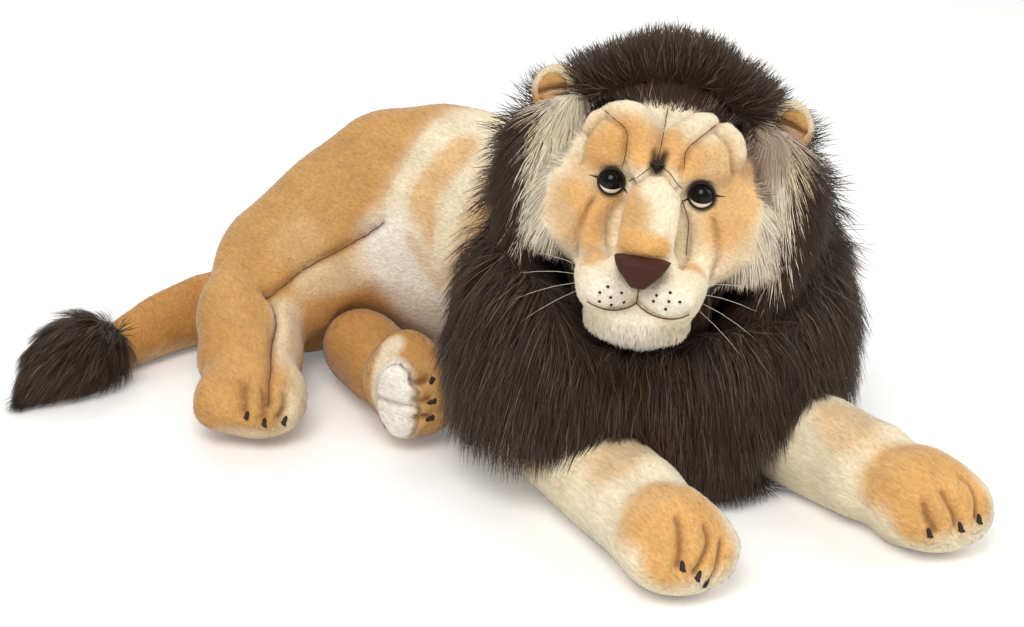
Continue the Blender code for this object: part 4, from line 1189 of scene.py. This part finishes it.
class LIONPLUSH_OT_mane(LionOperator, bpy.types.Operator):
    """Grow the long dark mane on the chest, the nape and round the head"""

    bl_idname = "lionplush.mane"
    bl_label = "Mane"

    def build(self, sizes, dyes):
        def tones(points):
            return mane_tones(points, dyes)

        def under(points):
            return mane_tones(points, dyes, 0.6)

        legs = tree_of(*(bpy.data.objects[name + "_coat"] for name in LIMBS))
        nodes = ("mane_chest", "mane_nape")
        chest = backing("mane_backing", "torso", nodes, MANE_SKIN, under, mane_backing())
        look = dict(lock=0.28, **dark_look(dyes, 0.12, 0.65, 0.25))

        def hang(name, count, seed, keep):
            fur(
                "torso", "mane", "mane_pile", name, chest, count, seed, sizes.chest_hair,
                sizes.hair_width, chest_comb, tones, lift=0.3, droop=0.25, stray=0.19, keep=keep,
                pushed_by=legs, **look,
            )

        def on_nape(points, out):
            return ((points[:, 1] > -0.2) & (points[:, 2] > 0.01))

        for seed, (side, name) in enumerate(SIDES, 61):

            def on_chest(points, out):
                ahead = ((points[:, 0] - 0.01) * side > 0) & (points[:, 1] < -0.19)
                return (ahead & (points[:, 2] > 0.012) & (out[:, 2] > -0.45))

            hang("chest_hair_" + name, sizes.chest_strands, seed, on_chest)
        hang("nape_hair", sizes.nape_strands, 63, on_nape)
        nodes = ("mane_crown",)
        crown = backing("crown_backing", "head", nodes, CROWN_SKIN, under, mane_backing())

        def crown_size(roots):
            local = in_head(roots)
            return sizes.crown_hair * (1.1 - 0.42 * eased((local[:, 2] - 0.05) / 0.07))

        def crown_keep(points, out):
            return 1 + 4 * eased((0.02 - in_head(points)[:, 1]) / 0.04)

        def crown_lift(roots):
            return 0.3 + 0.5 * eased(-in_head(roots)[:, 1] / 0.03)

        fur(
            "head", "mane", "mane_pile", "crown_hair", crown, sizes.crown_strands, 64, crown_size,
            sizes.hair_width * 0.85, crown_comb, tones, lift=crown_lift, droop=0.1, stray=0.28,
            keep=crown_keep, **look,
        )


def ruff_tones(points, dyes, side, rng):
    """Grey near the ear, pale below it, golden at its ends, and dark at the outer and lower edge."""
    inner = head_path((side * 0.0863, -0.0438, 0.0575), (side * 0.082, -0.045, 0.04))
    sprays = (
        (head_path((side * 0.09, -0.05, 0.085)), 0.06, "ruff_grey", 0.6 + 0.2 * side),
        (head_path((side * 0.116, -0.03, 0.04), (side * 0.112, -0.04, -0.06)), 0.03, "ruff_gold", 1.0),
        (head_path((side * 0.09, -0.06, -0.1)), 0.035, "ruff_gold", 0.7),
        (inner, 0.02, "cream" if side < 0 else "ruff_grey", 0.9),
    )
    tones = sprayed(points, "ruff_pale", sprays, dyes)
    local = in_head(points) + rng.normal(0, 0.005, (len(points), 1))
    tones[(np.abs(local[:, 0]) > 0.111 + 0.002 * side) | (local[:, 2] < -0.054)] = dyes.mane_dark
    return tones


def beyond_edge(local):
    """How far past the hair's edge each point lies; the edge dips where the brows meet."""
    edge = 0.084 - 0.009 * np.exp(-((local[:, 0] / 0.02) ** 2))
    return np.hypot(local[:, 0], local[:, 2]) - edge


def hairline(points, out):
    local = in_head(points)
    near = np.abs(local[:, 1] + 0.04) < 0.04
    return ((beyond_edge(local) > 0) & (local[:, 2] > 0.01) & near)


def hairline_comb(roots, out):
    return (in_head(roots) * (1, 0, 1)) @ HEAD_AXES * 10 + HEAD_AXES[1] * 0.4


def jaw(points, out):
    local = in_head(points)
    front = np.where(np.abs(local[:, 0]) < 0.045, -0.075, -0.1)
    return ((local[:, 2] < -0.06) & (local[:, 1] > front) & (local[:, 1] < 0.0))


class LIONPLUSH_OT_ruffs(LionOperator, bpy.types.Operator):
    """Grow the pale ruffs beside the face, its hairline, and the dark hair under its jaw"""

    bl_idname = "lionplush.ruffs"
    bl_label = "Ruffs"

    def build(self, sizes, dyes):
        face = bpy.data.objects["face"]
        width = sizes.hair_width * 0.75
        look = dict(
            rows=LONG_ROWS, lift=0.18, droop=0.15, stray=0.16, lock=0.3, root_shade=0.86, vary=0.1,
            soft=0.75,
        )
        for seed, (side, name) in enumerate(SIDES, 71):
            rng = np.random.default_rng(seed)

            def colours(points):
                return ruff_tones(points, dyes, side, rng)

            def cheek_edge(points, out):
                local = in_head(points)
                edge = 0.09 - 0.55 * np.clip(-0.02 - local[:, 2], 0, 0.04)
                outside = (local[:, 0] * side > edge) & (local[:, 1] < 0.0)
                return (outside & (np.abs(local[:, 2] + 0.02) < 0.075))

            node = "cheek_ruff_" + name
            ruff = backing(
                node + "_backing", "head", (node,), RUFF_SKIN, colours, pile_cloth()
            )
            comb = even_comb(np.array((side * 0.25, 0.2, -0.95)) @ HEAD_AXES)
            fur(
                "head", "ruff", "ruff_pile", node + "_hair", ruff, sizes.ruff_strands, seed,
                sizes.ruff_hair, width, comb, colours, **look,
            )
            fur(
                "head", "ruff", "ruff_pile", node + "_fringe", face, sizes.ruff_strands // 3,
                seed + 10, sizes.ruff_hair * 0.75, width, comb, colours, keep=cheek_edge, **look,
            )
        rng = np.random.default_rng(78)

        def mixed(points):
            """Dark above the brows, grey beside the left one and pale beside the right one."""
            local = in_head(points) + rng.normal(0, 0.004, (len(points), 3))
            tones = np.tile(np.array(dyes.ruff_grey), (len(points), 1))
            tones[local[:, 0] < -0.05] = dyes.ruff_pale
            tones[(beyond_edge(local) > -0.004) & (local[:, 2] > 0.058)] = dyes.mane_dark
            return tones

        fur(
            "head", "hairline", "ruff_pile", "hairline", face, sizes.hairline_strands, 77,
            sizes.crown_hair * 0.55, sizes.hair_width * 0.8, hairline_comb, mixed, lift=0.35, stray=0.3,
            lock=0.2, keep=hairline, root_shade=0.85, vary=0.15, soft=0.6,
        )
        fur(
            "head", "mane", "mane_pile", "jaw_hair", face, sizes.jaw_strands, 79, sizes.crown_hair,
            sizes.hair_width, lambda roots, out: out * 0.4 + DOWN,
            lambda points: mane_tones(points, dyes), lift=0.25, droop=0.2, stray=0.15, lock=0.45,
            keep=jaw, **dark_look(dyes),
        )


# The face


FACE_NODES = (
    "head_stuffing", "head_cover", "nose_bridge", "chin", "muzzle_left", "muzzle_right",
    "brow_left", "brow_right", "cheek_left", "cheek_right",
)
EYE_CENTRE = (0.0391, -0.0925, 0.0145)
EYE_DOME = 0.0098
PUPIL_REACH = 0.01304
EYE_BLACK = linear(5, 4, 4)
EYE_WHITE = linear(244, 240, 230)
WHISKER_SLIMMING = 0.0004
# Places across and up the face, which its seams are laid on from the front.
FACE_SEAMS = {
    "forehead": ((-0.0027, 0.079), (-0.0018, 0.0592), (-0.0021, 0.0434), (-0.0008, 0.0379)),
    "inner_right": ((-0.0008, 0.0379), (-0.0092, 0.0331), (-0.0244, 0.0161)),
    "inner_left": ((-0.0008, 0.0379), (0.0105, 0.0325), (0.0217, 0.0199)),
    "brow_right": ((-0.0568, 0.0732), (-0.0346, 0.0624), (-0.0305, 0.0467), (-0.0316, 0.0275)),
    "brow_left": ((0.0484, 0.0816), (0.0302, 0.0643), (0.0203, 0.051), (0.0211, 0.0361)),
    "brow_outer_right": ((-0.0568, 0.0732), (-0.0692, 0.0464), (-0.0704, 0.0265)),
    "brow_outer_left": ((0.0439, 0.0742), (0.058, 0.0597), (0.066, 0.035)),
    "bridge_right": ((-0.0295, 0.001), (-0.0335, -0.0122), (-0.034, -0.0276), (-0.031, -0.0377)),
    "bridge_left": ((0.0231, 0.0084), (0.0311, -0.0103), (0.0332, -0.03), (0.034, -0.0387)),
    "lip_right": ((-0.05, -0.004), (-0.058, -0.022), (-0.062, -0.043), (-0.0605, -0.058)),
    "lip_left": ((0.05, -0.004), (0.058, -0.018), (0.062, -0.04), (0.0605, -0.058)),
}
SEWN_SEAMS = ("forehead", "inner_right", "inner_left", "brow_right", "brow_left", "bridge_left")
MOUTH_SEAMS = (
    ((0.0, -0.06), (0.0003, -0.068), (0.0, -0.077)),
    ((0.0, -0.077), (-0.0075, -0.0815), (-0.0169, -0.084), (-0.0282, -0.084), (-0.041, -0.0795)),
    ((0.0, -0.077), (0.0085, -0.0812), (0.0225, -0.0838), (0.0342, -0.0825), (0.046, -0.0765)),
)


def seen_path(places):
    """Places across and up the face, in the frame, in front of it."""
    return [on_head(across, -0.15, high) for across, high in places]


def face_thread(places, tree, *settings):
    """A sewn line over the face, laid on it from the front."""
    return thread("line", laid(seen_path(places), tree, HEAD_AXES[1]), *settings)


# The knot's stitches between the brows: how each is turned and how far it reaches.
BROW_KNOT = (-0.0018, -0.111, 0.0385)
KNOT_STITCHES = ((0.0, 0.0065), (0.9, 0.005), (-0.8, 0.0055), (1.57, 0.009))
# Sprays of dye, with painted shade among them: a path in the head's own axes, its radius, its dye and
# how strong it is.
FACE_SPRAYS = tuple((head_path(*path), *spray) for path, *spray in (
    (((-0.05, -0.1, 0.045), (-0.06, -0.095, -0.02)), 0.045, "golden", 0.35),
    (((0.05, -0.1, 0.045), (0.07, -0.085, -0.02)), 0.045, "golden", 0.4),
    (((0.0, -0.1, 0.06), (0.0, -0.11, 0.04)), 0.03, "golden", 0.35),
    (((-0.047, -0.102, 0.06), (-0.063, -0.093, 0.034)), 0.03, "golden", 0.5),
    (((-0.024, -0.102, 0.062), (-0.012, -0.097, 0.05)), 0.028, "golden", 0.55),
    (((-0.018, -0.148, 0.0), (-0.02, -0.155, -0.018)), 0.026, "golden", 0.75),
    (((-0.004, -0.164, -0.018), (-0.012, -0.15, 0.002)), 0.02, "golden", 0.45),
    (((-0.074, -0.101, -0.006), (-0.058, -0.1046, -0.025)), 0.034, "golden", 0.5),
    # Orange on the lower parts of the brows, under their pale tops: sprayed orange on the cloth, and
    # painted shade under the pads.
    (((-0.027, -0.1, 0.058), (-0.014, -0.1, 0.042)), 0.02, "orange", 0.9),
    (((0.007, -0.092, 0.055), (0.014, -0.1, 0.042)), 0.019, "orange", 0.85),
    (((-0.04, -0.1, 0.05), (-0.055, -0.098, 0.036)), 0.023, "orange", 0.95),
    (((0.0286, -0.1036, 0.05), (0.028, -0.1, 0.035)), 0.018, "orange", 0.8),
    (((0.05, -0.098, 0.052), (0.055, -0.095, 0.036)), 0.018, "orange", 0.6),
    (((-0.0681, -0.0978, 0.0), (-0.0455, -0.0968, -0.0068), (-0.036, -0.095, 0.0)),
     0.017, "orange", 0.75),
    (((-0.053, -0.103, -0.016), (-0.05, -0.105, -0.03), (-0.042, -0.145, -0.042)),
     0.017, "orange", 0.8),
    (((0.07, -0.062, 0.036), (0.071, -0.088, 0.012), (0.063, -0.101, -0.008)), 0.03, "orange", 0.8),
    (((-0.013, -0.162, -0.022), (0.0134, -0.162, -0.0237)), 0.018, "orange", 1.0),
    (((-0.0236, -0.1443, -0.0117), (-0.017, -0.128, 0.012)), 0.016, "orange", 0.75),
    (((0.041, -0.1278, -0.0392), (0.044, -0.125, -0.048)), 0.016, "orange", 0.9),
    (((-0.03, -0.168, -0.07), (0.0, -0.165, -0.07), (0.03, -0.168, -0.07)), 0.026, "white", 0.6),
    (((0.0, -0.125, -0.105),), 0.045, "white", 1.0),
    # A grey band round the face's edge, next to the crown and the ruffs: grey fur there, and painted
    # shade where their hair overhangs the face.
    (((-0.072, -0.04, 0.068), (-0.04, -0.04, 0.089)), 0.014, "ruff_grey", 0.9),
    (((0.086, -0.05, 0.045), (0.072, -0.04, 0.068), (0.04, -0.04, 0.089)), 0.016, "ruff_grey", 0.9),
    (((-0.04, -0.04, 0.089), (0.0, -0.045, 0.096), (0.04, -0.04, 0.089)), 0.012, "ruff_grey", 0.9),
    (((0.093, -0.06, -0.02), (0.092, -0.055, 0.03)), 0.014, "ruff_grey", 0.7),
    (((-0.002, -0.119, 0.0355), BROW_KNOT, (-0.0015, -0.1, 0.046)), 0.011, "dark", 1.0),
))
ROOT_DOTS = (
    (-0.0304, -0.1696, -0.066), (-0.0246, -0.1687, -0.0602), (-0.021, -0.1676, -0.0692),
    (-0.0299, -0.1659, -0.0743), (-0.0197, -0.1627, -0.0767), (-0.0127, -0.1627, -0.065),
    (-0.0098, -0.1555, -0.0746), (0.0167, -0.1654, -0.0616), (0.0149, -0.1634, -0.0673),
    (0.0275, -0.1704, -0.064), (0.0275, -0.1674, -0.0571), (0.0259, -0.1672, -0.0713),
    (0.037, -0.17, -0.0631),
)


FACE_FILLING = (
    (head_path((-0.044, -0.11, -0.118)), 0.026, -0.011),
    (head_path((0.044, -0.11, -0.118)), 0.026, -0.011),
    (head_path((-0.034, -0.124, -0.097)), 0.022, 0.004),
    (head_path((0.038, -0.12, -0.096)), 0.022, 0.006),
    (head_path((-0.05, -0.09, 0.076)), 0.03, -0.004),
    (head_path((0.05, -0.09, 0.076)), 0.03, -0.004),
)


def face_comb(roots, out):
    """Pile lies away from the nose, up the bridge and outward over the cheeks."""
    return roots - on_head(0, -0.175, -0.03)


def behind_brows(points):
    """How far each point lies behind the brows, where the cloth is as dark as the hair over it."""
    local = in_head(points)
    outer = eased((np.hypot(local[:, 0], local[:, 2]) - 0.078) / 0.01)
    return outer * eased((local[:, 1] + 0.076) / 0.018) * eased((local[:, 2] - 0.04) / 0.012)


def open_eyes(face):
    """Presses the skin back behind each eye's dome, up to its rim."""
    local = in_head(places_of(face))
    for side in (1, -1):
        away = np.hypot(local[:, 0] - side * EYE_CENTRE[0], local[:, 2] - EYE_CENTRE[2])
        share = eased((0.0165 - away) / 0.005) * (local[:, 1] < -0.04)
        back = np.maximum(local[:, 1], EYE_CENTRE[1] + 0.0035)
        local[:, 1] += share * (back - local[:, 1])
    move_to(face, HEAD_CENTRE + local @ HEAD_AXES)


def draw_in_jaw(face):
    """Pulls the cheeks' lower corners in, where the hair hangs over them."""
    local = in_head(places_of(face))
    aside = eased((np.abs(local[:, 0]) - 0.045) / 0.04)
    low = eased((-0.035 - local[:, 2]) / 0.045)
    front = eased((0.0 - local[:, 1]) / 0.04)
    share = (aside * low * front)[:, None]
    middle = np.array((0.0, -0.03, -0.02))
    local += share * 0.22 * (middle - local)
    move_to(face, HEAD_CENTRE + local @ HEAD_AXES)


class LIONPLUSH_OT_face(LionOperator, bpy.types.Operator):
    """Dress the head in one padded face with sewn creases, short pile and a bearded chin"""

    bl_idname = "lionplush.face"
    bl_label = "Face"

    def build(self, sizes, dyes):
        face = skin("face", FACE_NODES, *FACE_SKIN)
        draw_in_jaw(face)
        plump(face, FACE_FILLING)
        paths = [seen_path(places) for places in (*FACE_SEAMS.values(), *MOUTH_SEAMS)]
        creases = [spots_of(course) for course in sew(face, paths, FACE_SEWING, HEAD_AXES[1])]
        seams, mouth = creases[:len(FACE_SEAMS)], creases[len(FACE_SEAMS):]
        open_eyes(face)

        def colours(points):
            tones = sprayed(points, "cream", FACE_SPRAYS, dyes)
            creased(tones, points, seams, dyes, 0.45, 0.0024)
            tones += behind_brows(points)[:, None] * (np.array(dyes.mane_dark) - tones)
            return creased(tones, points, mouth, dyes, 0.6, 0.002)

        finish_skin(face, "head", FACE_NODES, colours, pile_cloth())
        tree = tree_of(face)
        radius = sizes.thread_radius * 0.8
        sewn = [face_thread(FACE_SEAMS[name], tree, radius, 0.1) for name in SEWN_SEAMS]
        finish(joined("face_seams", sewn), thread_material(dyes), "head")
        stitches = []
        for turn, reach in KNOT_STITCHES:
            along = HEAD_AXES[0] * math.cos(turn) + HEAD_AXES[2] * math.sin(turn)
            across = HEAD_AXES[2] * math.cos(turn) - HEAD_AXES[0] * math.sin(turn)
            axes = (along, across, HEAD_AXES[1])
            stitches.append(bead("stitch", on_head(*BROW_KNOT), (reach, 0.0013, 0.0045), axes))
        finish(joined("brow_knot", stitches), claw_stitching(dyes), "head")

        def bare(points, out):
            local = in_head(points)
            eye = np.hypot(np.abs(local[:, 0]) - EYE_CENTRE[0], local[:, 2] - EYE_CENTRE[2])
            clear = (eye > 0.0145) & (local[:, 1] < 0.02)
            for path in creases:
                clear &= distance_to(points, path) > 0.0014
            return clear

        def chin(points, out):
            local = in_head(points)
            return ((local[:, 2] < -0.09) & (local[:, 1] < -0.07)) * bare(points, out)

        fur(
            "head", "pile", "golden_plush", "face_pile", face, sizes.face_strands, 81,
            sizes.face_pile, sizes.pile_width * 0.8, face_comb, colours, lift=0.35, keep=bare, vary=0.06,
        )
        fur(
            "head", "pile", "white_plush", "chin_hair", face, sizes.chin_strands, 82, sizes.beard_hair,
            sizes.pile_width, lambda roots, out: face_comb(roots, out) + DOWN * 0.2, colours,
            rows=(0, 0.5), lift=0.45, droop=0.4, stray=0.15, lock=0.3, keep=chin, vary=0.06,
        )


class LIONPLUSH_OT_eyes(LionOperator, bpy.types.Operator):
    """Set the two domed eyes in their dark rims"""

    bl_idname = "lionplush.eyes"
    bl_label = "Eyes"

    def build(self, sizes, dyes):
        axes = [Vector(axis) for axis in HEAD_AXES]
        turn = Matrix([list(axes[0]), list(axes[2]), list(-axes[1])]).transposed().to_4x4()
        rim_cloth = dyed_cloth("eye rim velour", tuple(dyes.dark), 0.85, 800, 0.6)
        tree = tree_of(bpy.data.objects["face"])
        across, back, high = EYE_CENTRE
        for side, name in SIDES:
            centre = on_head(side * across, back, high)
            radii = (sizes.eye_radius, EYE_DOME, sizes.eye_radius)
            eye = bead("eye_dome_" + name, centre, radii, axes, segments=48, rings=32)
            pupil = on_head(side * across, back - 0.0025, high + 0.006)
            plastic = eye_plastic("eye plastic " + name, pupil, PUPIL_REACH, EYE_BLACK, EYE_WHITE)
            finish(eye, plastic, "head", ("eye_" + name,))
            deselect()
            bpy.ops.mesh.primitive_torus_add(
                major_segments=48, minor_segments=12, major_radius=0.0111, minor_radius=0.0014
            )
            rim = bpy.context.object
            place = Vector(on_head(side * across, back - 0.0012, high))
            rim.matrix_world = Matrix.Translation(place) @ turn
            bpy.ops.object.transform_apply(location=True, rotation=True, scale=True)
            bpy.ops.object.shade_smooth()
            outer = ((side * (across + 0.0095), high + 0.001), (side * (across + 0.02), high + 0.002))
            inner = ((side * (across - 0.0095), high - 0.004), (side * (across - 0.0165), high - 0.0085))
            corners = [face_thread(places, tree, 0.0015, 0.2, True) for places in (outer, inner)]
            rim = joined("eye_surround_" + name, [rim, *corners])
            finish(rim, rim_cloth, "head", ("eye_rim_" + name,))


class LIONPLUSH_OT_nose(LionOperator, bpy.types.Operator):
    """Make the velour nose, the sewn mouth and the dots at the whiskers' roots"""

    bl_idname = "lionplush.nose"
    bl_label = "Nose and Mouth"

    def build(self, sizes, dyes):
        nose = skin("nose", ("nose_pad",), *NOSE_SKIN)
        shade_smooth(nose)
        velour = dyed_cloth("nose velour", tuple(dyes.nose), 0.6, 1500, 0.5, Specular_IOR_Level=0.22)
        finish(nose, velour, "head", ("nose_pad",))
        tree = tree_of(bpy.data.objects["face"])
        lines = [face_thread(places, tree, sizes.thread_radius, 0.4) for places in MOUTH_SEAMS]
        mouth = joined("mouth_line", lines)
        finish(mouth, thread_material(dyes), "head", ("mouth_stitch",))
        dots = []
        for place in ROOT_DOTS:
            spot, axes = surface_axes(tree, on_head(*place), HEAD_AXES[0])
            dots.append(bead("dot", spot + axes[2] * 0.0008, (0.0015, 0.0013, 0.001), axes, 8, 6))
        finish(joined("whisker_dots", dots), claw_stitching(dyes), "head")


class LIONPLUSH_OT_ears(LionOperator, bpy.types.Operator):
    """Dress the two small folded ears and their linings"""

    bl_idname = "lionplush.ears"
    bl_label = "Ears"

    def build(self, sizes, dyes):
        for seed, (side, name) in enumerate(SIDES, 91):
            body, lining = "ear_" + name, "ear_lining_" + name

            def colours(points):
                rim = head_path((side * 0.095, -0.03, 0.1), (side * 0.125, -0.02, 0.09))
                return sprayed(points, "golden", ((rim, 0.03, "cream", 0.8),), dyes)

            def inner_colours(points):
                flat = in_head(points) * (1, 0, 1)
                # The lining is painted a little darker than the coat's golden, with a painted shadow
                # line along its fold.
                fold = ((side * 0.09, 0, 0.082), (side * 0.108, 0, 0.075), (side * 0.122, 0, 0.07))
                tones = sprayed(points, "golden", (), dyes) * 0.9
                return creased(tones, flat, (fold,), dyes, 1.0, 0.003)

            coat = backing(
                body + "_coat", body, (body,), EAR_SKIN, colours, pile_cloth()
            )
            backing(
                body + "_fold", body, (lining,), LINING_SKIN, inner_colours, pile_cloth()
            )
            comb = even_comb(np.array((side * 0.8, 0.1, 0.5)) @ HEAD_AXES)
            fur(
                body, "pile", "golden_plush", body + "_pile", coat, sizes.ear_strands, seed,
                sizes.face_pile, sizes.pile_width * 0.8, comb, colours, lift=0.4,
            )


class LIONPLUSH_OT_inner(bpy.types.Operator):
    """Give the whiskers, the eyes' washers and the neck stump their finishes"""

    bl_idname = "lionplush.inner"
    bl_label = "Whiskers and Inner Parts"

    def execute(self, context):
        nylon = dyed_cloth("whisker nylon", linear(206, 200, 188), 0.4, 300, 0.1)
        washer = dyed_cloth("washer plastic", linear(214, 212, 206), 0.4, 400, 0.15)
        neck = dyed_cloth("neck cloth", linear(84, 64, 48), 0.9, 700, 0.6)
        for name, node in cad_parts.items():
            if name.startswith("whisker"):
                bristle = merged(name + "_bristle", (name,))
                swell(bristle, -WHISKER_SLIMMING)
                apply_modifiers(bristle)
                shade_smooth(bristle)
                finish(bristle, nylon, "head", (name,))
            elif name.startswith("eye_washer") or name == "neck":
                node.data.materials.clear()
                node.data.materials.append(neck if name == "neck" else washer)
        return {"FINISHED"}


# The stage


CAMERA_TARGET = Vector((-0.092, -0.17, 0.135))
CAMERA_TURN = math.radians(-30)
CAMERA_RISE = math.radians(21)
CAMERA_DISTANCE = 2.34
CAMERA_LENS = 89
LAMP_TARGET = Vector((-0.1, -0.15, 0.1))
# Each lamp's name, place, size, power and colour.
LAMPS = (
    ("key_lamp", (-1.3, -1.5, 2.3), 1.6, 52, (1.0, 0.98, 0.95)),
    ("fill_lamp", (1.7, -1.4, 1.5), 1.8, 18, (0.96, 0.98, 1.0)),
    ("back_lamp", (0.4, 1.9, 1.9), 1.6, 18, (1.0, 1.0, 1.0)),
)
FLOOR_SIZE = 12
FLOOR_GLOW = 0.16
WORLD_LIGHT = 0.5


def lamp(name, place, size, power, colour):
    light = bpy.data.lights.new(name, "AREA")
    light.size = size
    light.energy = power
    light.color = colour
    lamp_object = linked(name, light)
    lamp_object.location = place
    way = LAMP_TARGET - Vector(place)
    lamp_object.rotation_euler = way.to_track_quat("-Z", "Y").to_euler()


class LIONPLUSH_OT_stage(bpy.types.Operator):
    """Lay the white floor, hang the soft studio lamps and set the camera"""

    bl_idname = "lionplush.stage"
    bl_label = "Stage"

    def execute(self, context):
        scene = context.scene
        scene.view_settings.view_transform = "Standard"
        deselect()
        bpy.ops.mesh.primitive_plane_add(size=FLOOR_SIZE, location=(0, 0, 0))
        bpy.ops.object.transform_apply(location=True, rotation=True, scale=True)
        floor = bpy.context.object
        floor.name = floor.data.name = "studio_floor"
        material, nodes, links, surface = shader("floor paper", 0.95, Specular_IOR_Level=0.0)
        surface.inputs["Base Color"].default_value = (0.9, 0.9, 0.89, 1)
        rays = added(nodes, "LightPath")
        seen = added(nodes, "Math")
        seen.operation = "MAXIMUM"
        links.new(rays.outputs["Is Camera Ray"], seen.inputs[0])
        links.new(rays.outputs["Is Glossy Ray"], seen.inputs[1])
        glow = added(nodes, "Math")
        glow.operation = "MULTIPLY"
        glow.inputs[1].default_value = FLOOR_GLOW
        links.new(seen.outputs["Value"], glow.inputs[0])
        links.new(glow.outputs["Value"], surface.inputs["Emission Strength"])
        surface.inputs["Emission Color"].default_value = (1, 1, 1, 1)
        bump(nodes, links, surface, noise(nodes, links, 60), 0.05, 0.0005)
        floor.data.materials.append(material)
        for settings in LAMPS:
            lamp(*settings)
        world = scene.world or bpy.data.worlds.new("studio")
        scene.world = world
        world.use_nodes = True
        background = world.node_tree.nodes["Background"]
        background.inputs["Color"].default_value = (1, 1, 1, 1)
        background.inputs["Strength"].default_value = WORLD_LIGHT
        camera = linked("camera", bpy.data.cameras.new("camera"))
        flat = math.cos(CAMERA_RISE)
        back = Vector(
            (math.sin(CAMERA_TURN) * flat, -math.cos(CAMERA_TURN) * flat, math.sin(CAMERA_RISE))
        )
        camera.location = CAMERA_TARGET + back * CAMERA_DISTANCE
        camera.rotation_euler = (-back).to_track_quat("-Z", "Y").to_euler()
        camera.data.lens = CAMERA_LENS
        scene.camera = camera
        return {"FINISHED"}


class LIONPLUSH_PT_panel(bpy.types.Panel):
    """Lists the lion's pieces, sizes and dyes"""

    bl_idname = "LIONPLUSH_PT_panel"
    bl_label = "Plush Lion"
    bl_space_type = "VIEW_3D"
    bl_region_type = "UI"
    bl_category = "Plush Lion"

    def draw(self, context):
        for operator in OPERATORS:
            self.layout.operator(operator.bl_idname)
        for group in (context.scene.lion_sizes, context.scene.lion_dyes):
            box = self.layout.box()
            for name in group.__annotations__:
                box.prop(group, name)


OPERATORS = (
    LIONPLUSH_OT_body,
    LIONPLUSH_OT_legs,
    LIONPLUSH_OT_tail,
    LIONPLUSH_OT_mane,
    LIONPLUSH_OT_face,
    LIONPLUSH_OT_ruffs,
    LIONPLUSH_OT_eyes,
    LIONPLUSH_OT_nose,
    LIONPLUSH_OT_ears,
    LIONPLUSH_OT_inner,
    LIONPLUSH_OT_stage,
)
CLASSES = (LionSizes, LionDyes, *OPERATORS, LIONPLUSH_PT_panel)


def register():
    for item in CLASSES:
        bpy.utils.register_class(item)
    bpy.types.Scene.lion_sizes = PointerProperty(type=LionSizes)
    bpy.types.Scene.lion_dyes = PointerProperty(type=LionDyes)


def unregister():
    del bpy.types.Scene.lion_sizes
    del bpy.types.Scene.lion_dyes
    for item in reversed(CLASSES):
        bpy.utils.unregister_class(item)


def main():
    register()
    bpy.ops.lionplush.body()
    bpy.ops.lionplush.legs()
    bpy.ops.lionplush.tail()
    bpy.ops.lionplush.mane()
    bpy.ops.lionplush.face()
    bpy.ops.lionplush.ruffs()
    bpy.ops.lionplush.eyes()
    bpy.ops.lionplush.nose()
    bpy.ops.lionplush.ears()
    bpy.ops.lionplush.inner()
    bpy.ops.lionplush.stage()
    deselect()


if __name__ == "__main__":
    main()
